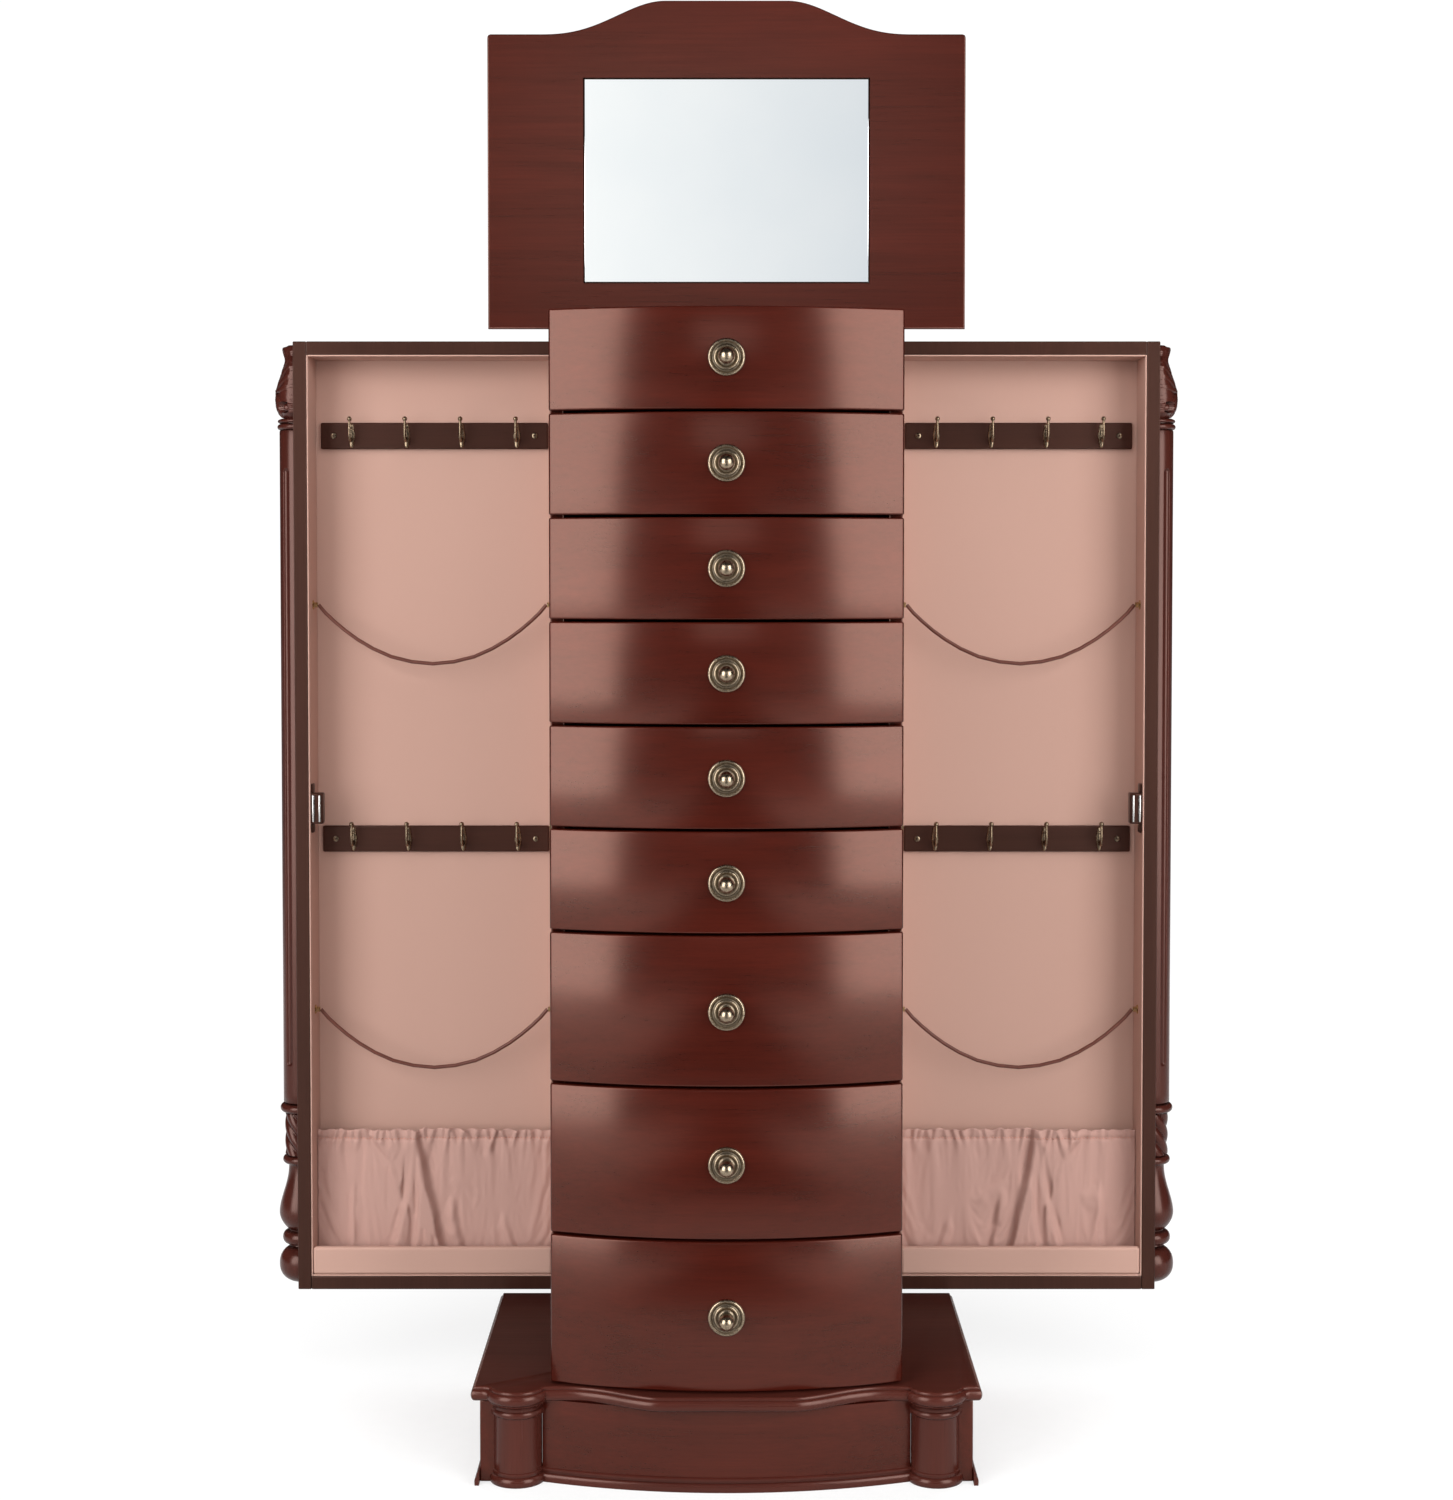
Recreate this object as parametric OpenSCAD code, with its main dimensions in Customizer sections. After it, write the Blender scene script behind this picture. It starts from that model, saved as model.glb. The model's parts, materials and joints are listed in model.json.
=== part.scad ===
// Standing jewelry armoire: a bow-fronted stack of drawers on a plinth, with a
// hinged side door either side that is a shallow lined box, and a lift-up lid
// with a mirror.  Millimetres, +Z up, the origin on the floor under the middle
// of the cabinet, the drawers facing -Y.

/* [Pose] */
// Angle that each side door is drawn open
door_open = 90; // [0:5:95]
// Angle that the lid is drawn open
lid_open = 90; // [0:5:90]
// Distance that every drawer is drawn pulled out
drawer_pull = 0; // [0:10:190]

/* [Cabinet] */
// Width of the drawer stack and its fronts
stack_w = 306; // [240:2:400]
// Depth of the doors, from the stile face to the back of the cabinet
body_d = 264; // [220:2:360]
// Thickness of the carcass side panels
side_t = 12; // [9:1:18]
// Thickness of the carcass back panel
back_t = 6; // [4:1:9]

/* [Drawers] */
// Height taken by each shallow drawer front
small_pitch = 89.5; // [70:0.5:120]
// Height taken by each deep drawer front
large_pitch = 132; // [100:1:180]
// Number of shallow drawers under the fixed top front
small_count = 5; // [5:5]
// Number of deep drawers at the bottom
large_count = 3; // [3:3]
// Gap between neighbouring drawer fronts
reveal = 2.4; // [1.5:0.1:4]
// How far the middle of a drawer front stands ahead of its ends
front_bow = 27; // [15:1:40]
// Thickness of a drawer front at its ends
front_edge_t = 14; // [10:1:20]
// Thickness of the boards of a drawer box
box_t = 8; // [6:1:12]
// Thickness of a drawer's bottom board
box_floor_t = 4; // [3:1:6]
// Clearance between a drawer box and the carcass on each side
box_clear = 1; // [0.5:0.5:2]
// Height of the runner strip under each side of a drawer
runner_h = 7; // [5:1:9]
// Width of a runner strip
runner_w = 14; // [10:1:20]

/* [Doors] */
// Thickness of a side door
door_t = 55.5; // [45:0.5:80]
// Gap between a closed door and the carcass
door_gap = 1.5; // [1:0.5:3]
// Thickness of the door's frame boards
frame_t = 13; // [10:1:18]
// Thickness of the door's outer panel
panel_t = 5; // [3:1:8]
// Thickness of the lined board at the back of the door's recess
lining_back_t = 2; // [1.5:0.5:3]
// Thickness of the lining on the recess's side walls
lining_t = 1.5; // [1:0.5:2.5]
// Height of the lined ledge across the bottom of the recess
ledge_h = 27; // [20:1:50]
// Thickness of that ledge
ledge_t = 8; // [5:1:12]
// Height of the top hem of the pouch above the door's bottom edge
pouch_top = 152; // [110:1:180]
// Depth of the pocket behind the pouch
pouch_depth = 14; // [8:1:25]
// Depth that the pouch's gathered cloth takes up
pouch_cloth = 9; // [4:1:12]

/* [Hook rails] */
// Height of a hook rail
rail_h = 26; // [20:1:35]
// Thickness of a hook rail
rail_t = 5; // [3:1:8]
// Distance from the door's top edge down to the middle of the upper rail
upper_rail_drop = 89; // [60:1:110]
// Height of the middle of the lower rail above the door's bottom edge
lower_rail_z = 440; // [400:1:500]
// Distance from a rail down to the ends of the cord under it
cord_drop = 167; // [120:1:180]
// Distance between neighbouring hooks
hook_spacing = 54.5; // [45:0.5:60]

/* [Columns] */
// Radius of the half column's shaft
shaft_r = 18.4; // [14:0.2:20]
// Radius of the vase and the ball at the column's foot
vase_r = 23.2; // [18:0.2:25]
// Depth that the column's axis lies behind the stile's face
column_inset = 0.5; // [0:0.5:8]

/* [Base] */
// Height of the base up to the top of its board
base_h = 84; // [60:1:120]
// Thickness of the base's top board
base_board_t = 12.5; // [10:0.5:20]
// Overhang of the base's top board past its side panels
base_over = 8; // [4:1:14]
// Overhang of the base's side panels past the closed doors
base_side_over = 4.5; // [2:0.5:10]
// Thickness of the base's panels
base_panel_t = 13; // [10:1:18]
// Height of the foot moulding
foot_h = 12; // [8:1:20]
// Radius of a corner pilaster
pilaster_r = 21.5; // [16:0.5:24]

/* [Lid] */
// Thickness of the lid
lid_t = 15; // [12:1:22]
// Overhang of the lid past each closed door
lid_over = 20; // [10:1:30]
// Overhang of the lid's front corners past the stile's face
lid_front_over = 36; // [22:1:40]
// How far the middle of the lid's front edge stands ahead of its corners
lid_bow = 32; // [20:1:40]
// Distance from the lid's side edges to the mirror
mirror_side_margin = 92.5; // [60:0.5:140]
// Distance from the lid's rear edge to the mirror
mirror_rear_margin = 44; // [30:1:60]
// Distance from the lid's front corners back to the mirror
mirror_front_margin = 42; // [20:1:70]
// Thickness of the mirror glass
mirror_t = 3; // [2:1:5]

/* [Knobs and hinges] */
// Radius of a knob's round rose
knob_rose_r = 16; // [12:0.5:20]
// Radius of a knob's ball
knob_ball_r = 7; // [5:0.5:10]
// Radius of a hinge's knuckles
knuckle_r = 3; // [2.5:0.1:4]
// Radius of a hinge's pin
pin_r = 1.5; // [1.2:0.1:2]
// Radial clearance between a pin and its knuckles
pin_clear = 0.06; // [0.04:0.01:0.1]
// Thickness of a hinge's leaves
leaf_t = 1.1; // [0.8:0.1:1.5]

/* [Top tray] */
// Depth of the tray under the carcass's top edge
tray_depth = 55; // [35:1:70]
// Number of ring rolls in the tray
roll_count = 5; // [3:1:6]
// Radius of one ring roll
roll_r = 7.5; // [6:0.5:9]

/* [Hidden] */

$fn = 96;

// Colours
cherry = "#5a2419";
espresso = "#2a1713";
velvet = "#c49a8a";
bronze = "#8a7c66";
cord_brown = "#4a261d";
silver = "#dfe6ea";

// The stack of fronts and the carcass behind them
stack_gap = 1;
// Line between two boards of one frame or box
seam = 0.1;
stack_z = base_h + stack_gap;
stack_h = (small_count + 1) * small_pitch + large_count * large_pitch;
carcass_top = stack_z + stack_h - stack_gap;
face_y = -body_d / 2;
back_y = body_d / 2;
front_proud = 2;
front_back_y = face_y - front_proud + front_edge_t;
carcass_front_y = front_back_y + 0.5;
front_nose_y = face_y - front_proud - front_bow;
inner_w = stack_w - 2 * side_t;
drawer_count = small_count + large_count;

// Drawer boxes
box_lift = 12;
box_headroom = 10;
runner_clear = 0.4;
box_w = inner_w - 2 * box_clear;
box_back_gap = 22;
box_end_y = back_y - back_t - box_back_gap;

// Knobs
knob_len = 22;
screw_r = 2;
screw_clear = 0.2;
screw_head_r = 4;
screw_head_t = 2.2;
screw_sink = 3;

// Side doors, drawn closed and then turned about their pins
door_x0 = stack_w / 2 + door_gap;
door_x1 = door_x0 + door_t;
door_bottom_gap = 2.5;
door_top_gap = 1.5;
door_z0 = base_h + door_bottom_gap;
door_z1 = carcass_top - door_top_gap;
knuckle_stand = 0.5;
door_pin_x = stack_w / 2 + door_gap / 2;
door_pin_y = back_y + knuckle_r + knuckle_stand;
leaf_x = knuckle_r + 0.6;
knuckle_gap = 0.2;
door_hinge_h = 50;
door_hinge_inset = 70;
lining_set = 0.6;
recess_x = door_x1 - panel_t - lining_back_t;
recess_y = body_d / 2 - frame_t - lining_t;
recess_z0 = door_z0 + frame_t + lining_t;
recess_z1 = door_z1 - frame_t - lining_t;

// Hook rails and hooks
rail_end_gap = 5;
hook_count = 4;
hook_wire_r = 1.3;
hook_plate_w = 8;
hook_plate_h = 24;
hook_plate_t = 1.5;
hook_reach = 13;
hook_rise = 20;
hook_tip_r = 2.4;
rail_screw_y = recess_y - rail_end_gap - 13;
hook_room = rail_screw_y - hook_plate_w / 2 - 6;
hook_step = min(hook_spacing, 2 * hook_room / (hook_count - 1));

// Necklace cords: [share of the half span from the middle of the door, height over the eye]
cord_d = 3.6;
cord_sides = 8;
cord_half_span = recess_y - 5.5;
cord_shape = [
    [-1, 0], [-0.94, -8], [-0.865, -16], [-0.77, -25], [-0.66, -34], [-0.525, -43],
    [-0.365, -51], [-0.185, -56], [0, -58], [0.185, -56], [0.365, -51], [0.525, -43],
    [0.66, -34], [0.77, -25], [0.865, -16], [0.94, -8], [1, 0]];
cord_route = [for (p = cord_shape) [p[0] * cord_half_span, p[1]]];
cord_out = 25;
cord_x = recess_x - cord_out;
ferrule_r = 2.6;
ferrule_len = 4.6;

// Middle heights of the two hook rails
rail_zs = [door_z1 - upper_rail_drop, door_z0 + lower_rail_z];

// Magnetic catch and its strike plate
catch_over_rail = 34;
catch_z = rail_zs[1] + catch_over_rail;
catch_h = 48;
catch_w = 12;
catch_deep = 14;
strike_t = 1;

// Half columns, from the door's bottom edge upwards
column_x = (door_x0 + door_x1) / 2;
column_y = face_y + column_inset;
column_foot = 1;
ball_h = 38;
ring_h = 14;
vase_h = 66;
twist_ring_h = 9;
twist_h = 42;
collar_h = 11;
capital_h = 72;
capital_w = 48;
capital_t = 20;
twist_r = shaft_r - 1.4;
neck_r = shaft_r - 3.6;
column_ring_r = shaft_r + 2;
flute_r = 2.3;
flute_end = 40;

// Lid
lid_gap = 2.5;
lid_z = carcass_top + lid_gap;
lid_pin_y = back_y - 10;
lid_pin_z = carcass_top + lid_gap / 2;
lid_rear_gap = 8;
lid_rear_y = lid_pin_y - lid_rear_gap;
lid_front_y = face_y - lid_front_over;
lid_w = 2 * (door_x1 + lid_over);
lid_curve_inset = 49;
lid_curve_run = 122;
lid_hinge_x = stack_w / 3;
lid_hinge_w = 44;
mirror_clear = 0.4;
mirror_sink = 0.5;
mirror_x = lid_w / 2 - mirror_side_margin;
mirror_y0 = lid_front_y + mirror_front_margin;
mirror_y1 = lid_rear_y - mirror_rear_margin;
hinge_rail_d = 18;
hinge_rail_h = 16;

// Base
base_side_x = door_x1 + base_side_over;
base_w = 2 * (base_side_x + base_over);
base_ear_y = face_y - 11;
base_bow = 29;
base_curve_inset = 2;
base_curve_run = 96;
base_back_y = back_y + 5;
bulge_r = pilaster_r + 7;
pilaster_foot_r = pilaster_r + 3.5;
pilaster_ring_r = pilaster_r + 2.4;
panel_end_x = column_x - pilaster_r - 0.3;
panel_end_y = face_y - 3;
panel_bow = front_bow;
foot_out = 4;
base_side_front_y = face_y - 7;
base_panel_y1 = back_y + 1;
panel_z1 = base_h - base_board_t;
pilaster_neck_z = panel_z1 - 10;

// Top tray
tray_floor_t = 5;
tray_floor_z = carcass_top - tray_depth;
tray_wall_t = 4;
tray_wall_h = 34;
tray_cells = 3;
roll_gap = 0.4;
tray_front_y = carcass_front_y;
tray_back_y = lid_rear_y - hinge_rail_d - 2;
rolls_d = roll_count * (2 * roll_r + roll_gap) + roll_gap;
divider_y = tray_front_y + rolls_d;

function arc_r(half, rise) = (half * half + rise * rise) / (2 * rise);

// Share of the bow reached at x: 0 past the end of the curve, and 1 across the
// middle, once the curve has had its run; it is steepest past the run's middle
curve_lean = 1.3;
function swell(x, end, run) =
    abs(x) <= end - run ? 1 :
    abs(x) >= end ? 0 :
    (1 - cos(180 * pow((end - abs(x)) / run, curve_lean))) / 2;

// Bottom of the place of front i, where 0 is the fixed top front
function front_z(i) = stack_z + (
    i > small_count
        ? (drawer_count - i) * large_pitch
        : large_count * large_pitch + (small_count - i) * small_pitch);
function pitch(i) = i > small_count ? large_pitch : small_pitch;

// A board with two opposite corners given
module board(a, b) {
    translate(a) cube(b - a);
}

// Both a piece on the right and its mirror image on the left
module both_sides() {
    children();
    mirror([1, 0, 0]) children();
}

// ---------------------------------------------------------------- drawers

// Bowed front: a cylinder of large radius cut to a flat-backed board
module bowed_front(z0, z1, back) {
    half = stack_w / 2;
    r = arc_r(half, front_bow);
    intersection() {
        board([-half, front_nose_y - 1, z0], [half, back, z1]);
        translate([0, front_nose_y + r, z0]) cylinder(r = r, h = z1 - z0, $fn = 360);
    }
}

// Hole for a knob's screw, with its sunk head's seat in the back of the front
module knob_hole(z, back) {
    translate([0, back + 1, z]) rotate([90, 0, 0]) {
        cylinder(r = screw_r + screw_clear, h = back - front_nose_y + 2, $fn = 32);
        cylinder(r = screw_head_r + 0.5, h = screw_sink + 1, $fn = 32);
    }
}

module drawer_front(i) {
    z0 = front_z(i) + reveal / 2;
    z1 = front_z(i) + pitch(i) - reveal / 2;
    color(cherry) translate([0, -drawer_pull, 0]) difference() {
        bowed_front(z0, z1, front_back_y);
        knob_hole((z0 + z1) / 2, front_back_y);
    }
}

module drawer_box(i) {
    half = box_w / 2;
    z0 = front_z(i) + box_lift;
    z1 = front_z(i) + pitch(i) - box_headroom;
    x = half - box_t - seam;
    y = box_end_y - box_t;
    color(velvet) translate([0, -drawer_pull, 0]) {
        both_sides()
            board([half - box_t, front_back_y, z0], [half, box_end_y, z1]);
        board([-x, y, z0], [x, box_end_y, z1]);
        board([-x, front_back_y, z0], [x, y - seam, z0 + box_floor_t]);
    }
}

// Turned knob: rose, ring, neck and ball, with the screw that holds it
module knob_at(z, back) {
    neck = knob_len - knob_ball_r;
    color(bronze) translate([0, front_nose_y, z]) rotate([90, 0, 0]) {
        cylinder(r = knob_rose_r, h = 2);
        translate([0, 0, 2]) cylinder(r1 = knob_rose_r - 1, r2 = knob_rose_r - 5, h = 2.5);
        cylinder(r = knob_rose_r - 5, h = 5.5);
        cylinder(r = knob_ball_r * 0.55, h = neck);
        translate([0, 0, neck]) sphere(r = knob_ball_r, $fn = 48);
    }
    sunk = back - screw_sink + screw_head_t;
    color(bronze) translate([0, sunk, z]) rotate([90, 0, 0]) {
        cylinder(r = screw_head_r, h = screw_head_t, $fn = 32);
        cylinder(r = screw_r, h = sunk - front_nose_y, $fn = 32);
    }
}

module drawer_knob(i) {
    translate([0, -drawer_pull, 0])
        knob_at(front_z(i) + pitch(i) / 2, front_back_y);
}

// ---------------------------------------------------------------- carcass

module carcass_sides() {
    color(cherry) both_sides()
        board([stack_w / 2 - side_t, carcass_front_y, base_h],
              [stack_w / 2, back_y - back_t, carcass_top]);
}

// Back panel and the rail inside it that carries the lid's hinges
module carcass_back() {
    half = stack_w / 2;
    color(espresso) {
        board([-half, back_y - back_t, base_h], [half, back_y, carcass_top - lid_gap]);
        board([-inner_w / 2, lid_rear_y - hinge_rail_d, carcass_top - hinge_rail_h],
              [inner_w / 2, lid_rear_y, carcass_top]);
    }
}

module drawer_runners() {
    color(espresso) for (i = [1 : drawer_count]) both_sides() {
        top = front_z(i) + box_lift - runner_clear;
        board([inner_w / 2 - runner_w, carcass_front_y + 4, top - runner_h],
              [inner_w / 2, back_y - back_t, top]);
    }
}

// Fixed front of the top tray
module top_front() {
    z0 = front_z(0) + reveal / 2;
    z1 = front_z(0) + pitch(0) - reveal / 2;
    color(cherry) difference() {
        bowed_front(z0, z1, carcass_front_y);
        knob_hole((z0 + z1) / 2, carcass_front_y);
    }
}

module top_front_knob() {
    knob_at(front_z(0) + pitch(0) / 2, carcass_front_y);
}

// Lined floor of the tray, the wall behind the ring rolls and the cell walls
module top_tray() {
    half = inner_w / 2;
    cell_w = (inner_w - (tray_cells - 1) * tray_wall_t) / tray_cells;
    floor_z = tray_floor_z;
    z0 = floor_z + seam;
    z1 = floor_z + tray_wall_h;
    color(velvet) {
        board([-half, tray_front_y, floor_z - tray_floor_t], [half, back_y - back_t, floor_z]);
        board([-half, divider_y, z0], [half, divider_y + tray_wall_t, z1]);
        board([-half, tray_back_y, z0], [half, tray_back_y + tray_wall_t, z1]);
        for (k = [1 : tray_cells - 1]) {
            x = -half + k * cell_w + (k - 1) * tray_wall_t;
            board([x, divider_y + tray_wall_t + seam, z0],
                  [x + tray_wall_t, tray_back_y - seam, z1]);
        }
    }
}

// Padded rolls that grip rings between them
module ring_rolls() {
    roll_l = inner_w - 2 * roll_gap;
    color(velvet) for (k = [0 : roll_count - 1]) {
        y = tray_front_y + roll_gap + roll_r + k * (2 * roll_r + roll_gap);
        translate([-roll_l / 2, y, tray_floor_z + roll_r]) rotate([0, 90, 0])
            cylinder(r = roll_r, h = roll_l, $fn = 32);
    }
}

// ---------------------------------------------------------------- hinges

// Knuckle from z0 to z1 about the pin, with the root of its leaf on one side
// of it (-1 or 1 along X) at leaf_y
module knuckle(z0, z1, side, leaf_y) {
    root_y = max(leaf_y + leaf_t, -pin_r - 0.5);
    difference() {
        union() {
            translate([0, 0, z0]) cylinder(r = knuckle_r, h = z1 - z0, $fn = 32);
            mirror([side < 0 ? 1 : 0, 0, 0])
                board([0.6, leaf_y, z0], [leaf_x + 0.4, root_y, z1]);
        }
        translate([0, 0, z0 - 1])
            cylinder(r = pin_r + pin_clear, h = z1 - z0 + 2, $fn = 32);
    }
}

// Fixed half of a butt hinge along Z with its pin, drawn about the pin: two
// knuckles, and a leaf towards -X
module fixed_leaf(h, leaf_y, leaf_w) {
    inner_z = h / 6 + knuckle_gap;
    knuckle(-h / 2, -inner_z, -1, leaf_y);
    knuckle(inner_z, h / 2, -1, leaf_y);
    board([-leaf_x - leaf_w, leaf_y, -h / 2], [-leaf_x, leaf_y + leaf_t, h / 2]);
    translate([0, 0, -h / 2 - 1]) cylinder(r = pin_r, h = h + 2, $fn = 32);
}

// Moving half: the middle knuckle, and a leaf towards +X
module moving_leaf(h, leaf_y, leaf_w) {
    outer_z = h / 6 - knuckle_gap;
    knuckle(-outer_z, outer_z, 1, leaf_y);
    board([leaf_x, leaf_y, -h / 2], [leaf_x + leaf_w, leaf_y + leaf_t, h / 2]);
}

door_hinge_z = [door_z0 + door_hinge_inset, door_z1 - door_hinge_inset];
door_leaf_y = back_y - door_pin_y;

module strike_plate() {
    y0 = face_y + frame_t + lining_t - 2;
    board([stack_w / 2, y0, catch_z - catch_h / 2 + 10],
          [stack_w / 2 + strike_t, y0 + catch_w + 2, catch_z + catch_h / 2 - 10]);
}

// Fixed hinge leaves with their pins, and the strike plates of the catches
module carcass_fittings() {
    color(bronze) {
        both_sides() {
            for (z = door_hinge_z) translate([door_pin_x, door_pin_y, z])
                fixed_leaf(door_hinge_h, door_leaf_y, 22);
            strike_plate();
        }
        for (s = [-1, 1]) translate([s * lid_hinge_x, lid_pin_y, lid_pin_z])
            lid_axis() mirror([0, 1, 0])
                fixed_leaf(lid_hinge_w, lid_gap / 2 - leaf_t, hinge_rail_d - 6);
    }
}

// Turns a hinge drawn along Z so that its pin lies along X and its fixed leaf
// runs forwards, towards -Y
module lid_axis() {
    multmatrix([[0, 0, 1, 0], [1, 0, 0, 0], [0, 1, 0, 0], [0, 0, 0, 1]]) children();
}

// ---------------------------------------------------------------- lid

// Turns the closed lid about its pins
module lid_pose() {
    translate([0, lid_pin_y, lid_pin_z]) rotate([-lid_open, 0, 0])
        translate([0, -lid_pin_y, -lid_pin_z]) children();
}

function lid_edge() = [
    for (x = [-lid_w / 2 : lid_w / 46 : lid_w / 2 + 0.01])
        [x, lid_front_y - lid_bow * swell(x, lid_w / 2 - lid_curve_inset, lid_curve_run)]];

module lid_board() {
    half = lid_w / 2;
    color(cherry) lid_pose() difference() {
        translate([0, 0, lid_z]) linear_extrude(lid_t)
            polygon(concat(lid_edge(), [[half, lid_rear_y], [-half, lid_rear_y]]));
        board([-mirror_x - mirror_clear, mirror_y0 - mirror_clear, lid_z - 1],
              [mirror_x + mirror_clear, mirror_y1 + mirror_clear, lid_z + mirror_t + mirror_sink]);
    }
}

module lid_mirror() {
    color(silver) lid_pose()
        board([-mirror_x, mirror_y0, lid_z + mirror_sink],
              [mirror_x, mirror_y1, lid_z + mirror_t + mirror_sink]);
}

module lid_hinge_leaves() {
    color(bronze) lid_pose() for (s = [-1, 1])
        translate([s * lid_hinge_x, lid_pin_y, lid_pin_z]) lid_axis()
            mirror([1, 0, 0])
                moving_leaf(lid_hinge_w, lid_gap / 2 - leaf_t, 22);
}

// ---------------------------------------------------------------- doors

// Turns a closed right-hand door about its pin, and mirrors it for the left
module door_pose(side) {
    mirror([side < 0 ? 1 : 0, 0, 0])
        translate([door_pin_x, door_pin_y, 0]) rotate([0, 0, door_open])
            translate([-door_pin_x, -door_pin_y, 0]) children();
}

module door_frame(side) {
    x1 = door_x1 - panel_t;
    y = body_d / 2;
    yi = y - frame_t - seam;
    color(espresso) door_pose(side) {
        board([door_x0, -y, door_z0], [x1, frame_t - y, door_z1]);
        board([door_x0, y - frame_t, door_z0], [x1, y, door_z1]);
        board([door_x0, -yi, door_z1 - frame_t], [x1, yi, door_z1]);
        board([door_x0, -yi, door_z0], [x1, yi, door_z0 + frame_t]);
    }
}

module door_panel(side) {
    color(cherry) door_pose(side)
        board([door_x1 - panel_t, -body_d / 2, door_z0], [door_x1, body_d / 2, door_z1]);
}

// Lined boards of the recess, and the ledge across its bottom
module door_lining(side) {
    y = recess_y;
    yo = y + lining_t;
    yi = y - seam;
    z0 = recess_z0 - lining_t;
    z1 = recess_z1 + lining_t;
    x0 = door_x0 + lining_set;
    x1 = recess_x - seam;
    color(velvet) door_pose(side) {
        board([recess_x, -yo, z0], [recess_x + lining_back_t, yo, z1]);
        board([x0, -yo, z0], [x1, -y, z1]);
        board([x0, y, z0], [x1, yo, z1]);
        board([x0, -yi, recess_z1], [x1, yi, z1]);
        board([x0, -yi, z0], [x1, yi, recess_z0]);
        board([x0, -yi, recess_z0 + seam], [x0 + ledge_t, yi, recess_z0 + ledge_h]);
    }
}

module door_hook_rails(side) {
    y = recess_y - rail_end_gap;
    color(espresso) door_pose(side) for (zc = rail_zs) {
        board([recess_x - rail_t, -y, zc - rail_h / 2], [recess_x, y, zc + rail_h / 2]);
        for (s = [-1, 1]) translate([recess_x - rail_t, s * rail_screw_y, zc])
            rotate([0, -90, 0]) cylinder(r = 3.2, h = 1.4, $fn = 24);
    }
}

// One hook: a plate, a wire arm out and up, and a ball tip
module hook(zc, y) {
    x = recess_x - rail_t;
    plate_r = hook_plate_w / 2;
    arm_z = zc - 4;
    arm_x = x - hook_plate_t - hook_reach;
    for (dz = [-1, 1]) translate([x, y, zc + dz * (hook_plate_h / 2 - plate_r)])
        rotate([0, -90, 0]) cylinder(r = plate_r, h = hook_plate_t, $fn = 24);
    board([x - hook_plate_t, y - plate_r, zc - hook_plate_h / 2 + plate_r],
          [x, y + plate_r, zc + hook_plate_h / 2 - plate_r]);
    translate([x, y, arm_z]) rotate([0, -90, 0])
        cylinder(r = hook_wire_r, h = hook_plate_t + hook_reach, $fn = 24);
    translate([arm_x, y, arm_z]) sphere(r = hook_wire_r, $fn = 24);
    translate([arm_x, y, arm_z]) cylinder(r = hook_wire_r, h = hook_rise, $fn = 24);
    translate([arm_x, y, arm_z + hook_rise]) sphere(r = hook_tip_r, $fn = 24);
}

module door_hooks(side) {
    color(bronze) door_pose(side)
        for (zc = rail_zs, k = [0 : hook_count - 1])
            hook(zc, (k - (hook_count - 1) / 2) * hook_step);
}

// Tube swept along the cord's route in the plane x = 0; each ring stands
// square to the line through its neighbours
module cord_tube(route) {
    n = len(route);
    r = cord_d / 2;
    rings = [for (i = [0 : n - 1])
        let (a = route[max(0, i - 1)], b = route[min(n - 1, i + 1)],
             t = (b - a) / norm(b - a))
        for (k = [0 : cord_sides - 1])
            let (q = 360 * k / cord_sides)
            [r * cos(q), route[i][0] - r * sin(q) * t[1], route[i][1] + r * sin(q) * t[0]]];
    ends = [[for (k = [cord_sides - 1 : -1 : 0]) k],
            [for (k = [0 : cord_sides - 1]) (n - 1) * cord_sides + k]];
    sides = [for (i = [0 : n - 2], k = [0 : cord_sides - 1])
        let (a = i * cord_sides + k, b = i * cord_sides + (k + 1) % cord_sides)
        [a, b, b + cord_sides, a + cord_sides]];
    polyhedron(points = rings, faces = concat(ends, sides), convexity = 4);
}

// Cord k: 0 hangs under the upper rail and 1 under the lower
module door_cord(side, k) {
    color(cord_brown) door_pose(side) translate([cord_x, 0, rail_zs[k] - cord_drop])
        cord_tube(cord_route);
}

// Gathered pocket cloth across the bottom of the recess, as a flat slab
module door_pouch(side) {
    x1 = recess_x - pouch_depth;
    y = recess_y - 0.3;
    color(velvet) door_pose(side)
        board([x1 - pouch_cloth, -y, recess_z0 + 0.3], [x1, y, door_z0 + pouch_top]);
}

// Magnetic catch on the front stile: housing and two steel poles
module catch() {
    y = -recess_y;
    half = catch_h / 2;
    ear = 9;
    pole_t = 1.6;
    x0 = door_x0 + lining_set;
    board([x0 + 2, y, catch_z - half + ear], [x0 + catch_deep, y + catch_w, catch_z + half - ear]);
    board([x0 + 4, y, catch_z - half], [x0 + catch_deep, y + 2.5, catch_z - half + ear]);
    board([x0 + 4, y, catch_z + half - ear], [x0 + catch_deep, y + 2.5, catch_z + half]);
    for (dy = [2.5, catch_w - 2.5 - pole_t])
        board([x0, y + dy, catch_z - half + ear + 2],
              [x0 + 2, y + dy + pole_t, catch_z + half - ear - 2]);
}

// Hinge leaves, the catch, and the brass ends that hold the cords
module door_fittings(side) {
    color(bronze) door_pose(side) {
        for (z = door_hinge_z) translate([door_pin_x, door_pin_y, z])
            moving_leaf(door_hinge_h, door_leaf_y, 20);
        catch();
        for (zc = rail_zs, s = [-1, 1])
            translate([cord_x, s * recess_y, zc - cord_drop]) rotate([90 * s, 0, 0])
                cylinder(r = ferrule_r, h = ferrule_len, $fn = 24);
    }
}

// ---------------------------------------------------------------- columns

// Half circle bulging out of radius r between heights z0 and z1
function bead(z0, z1, r, rise) = [
    for (a = [-90 : 15 : 90])
        [r + rise * cos(a), (z0 + z1) / 2 + (z1 - z0) / 2 * sin(a)]];

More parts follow.
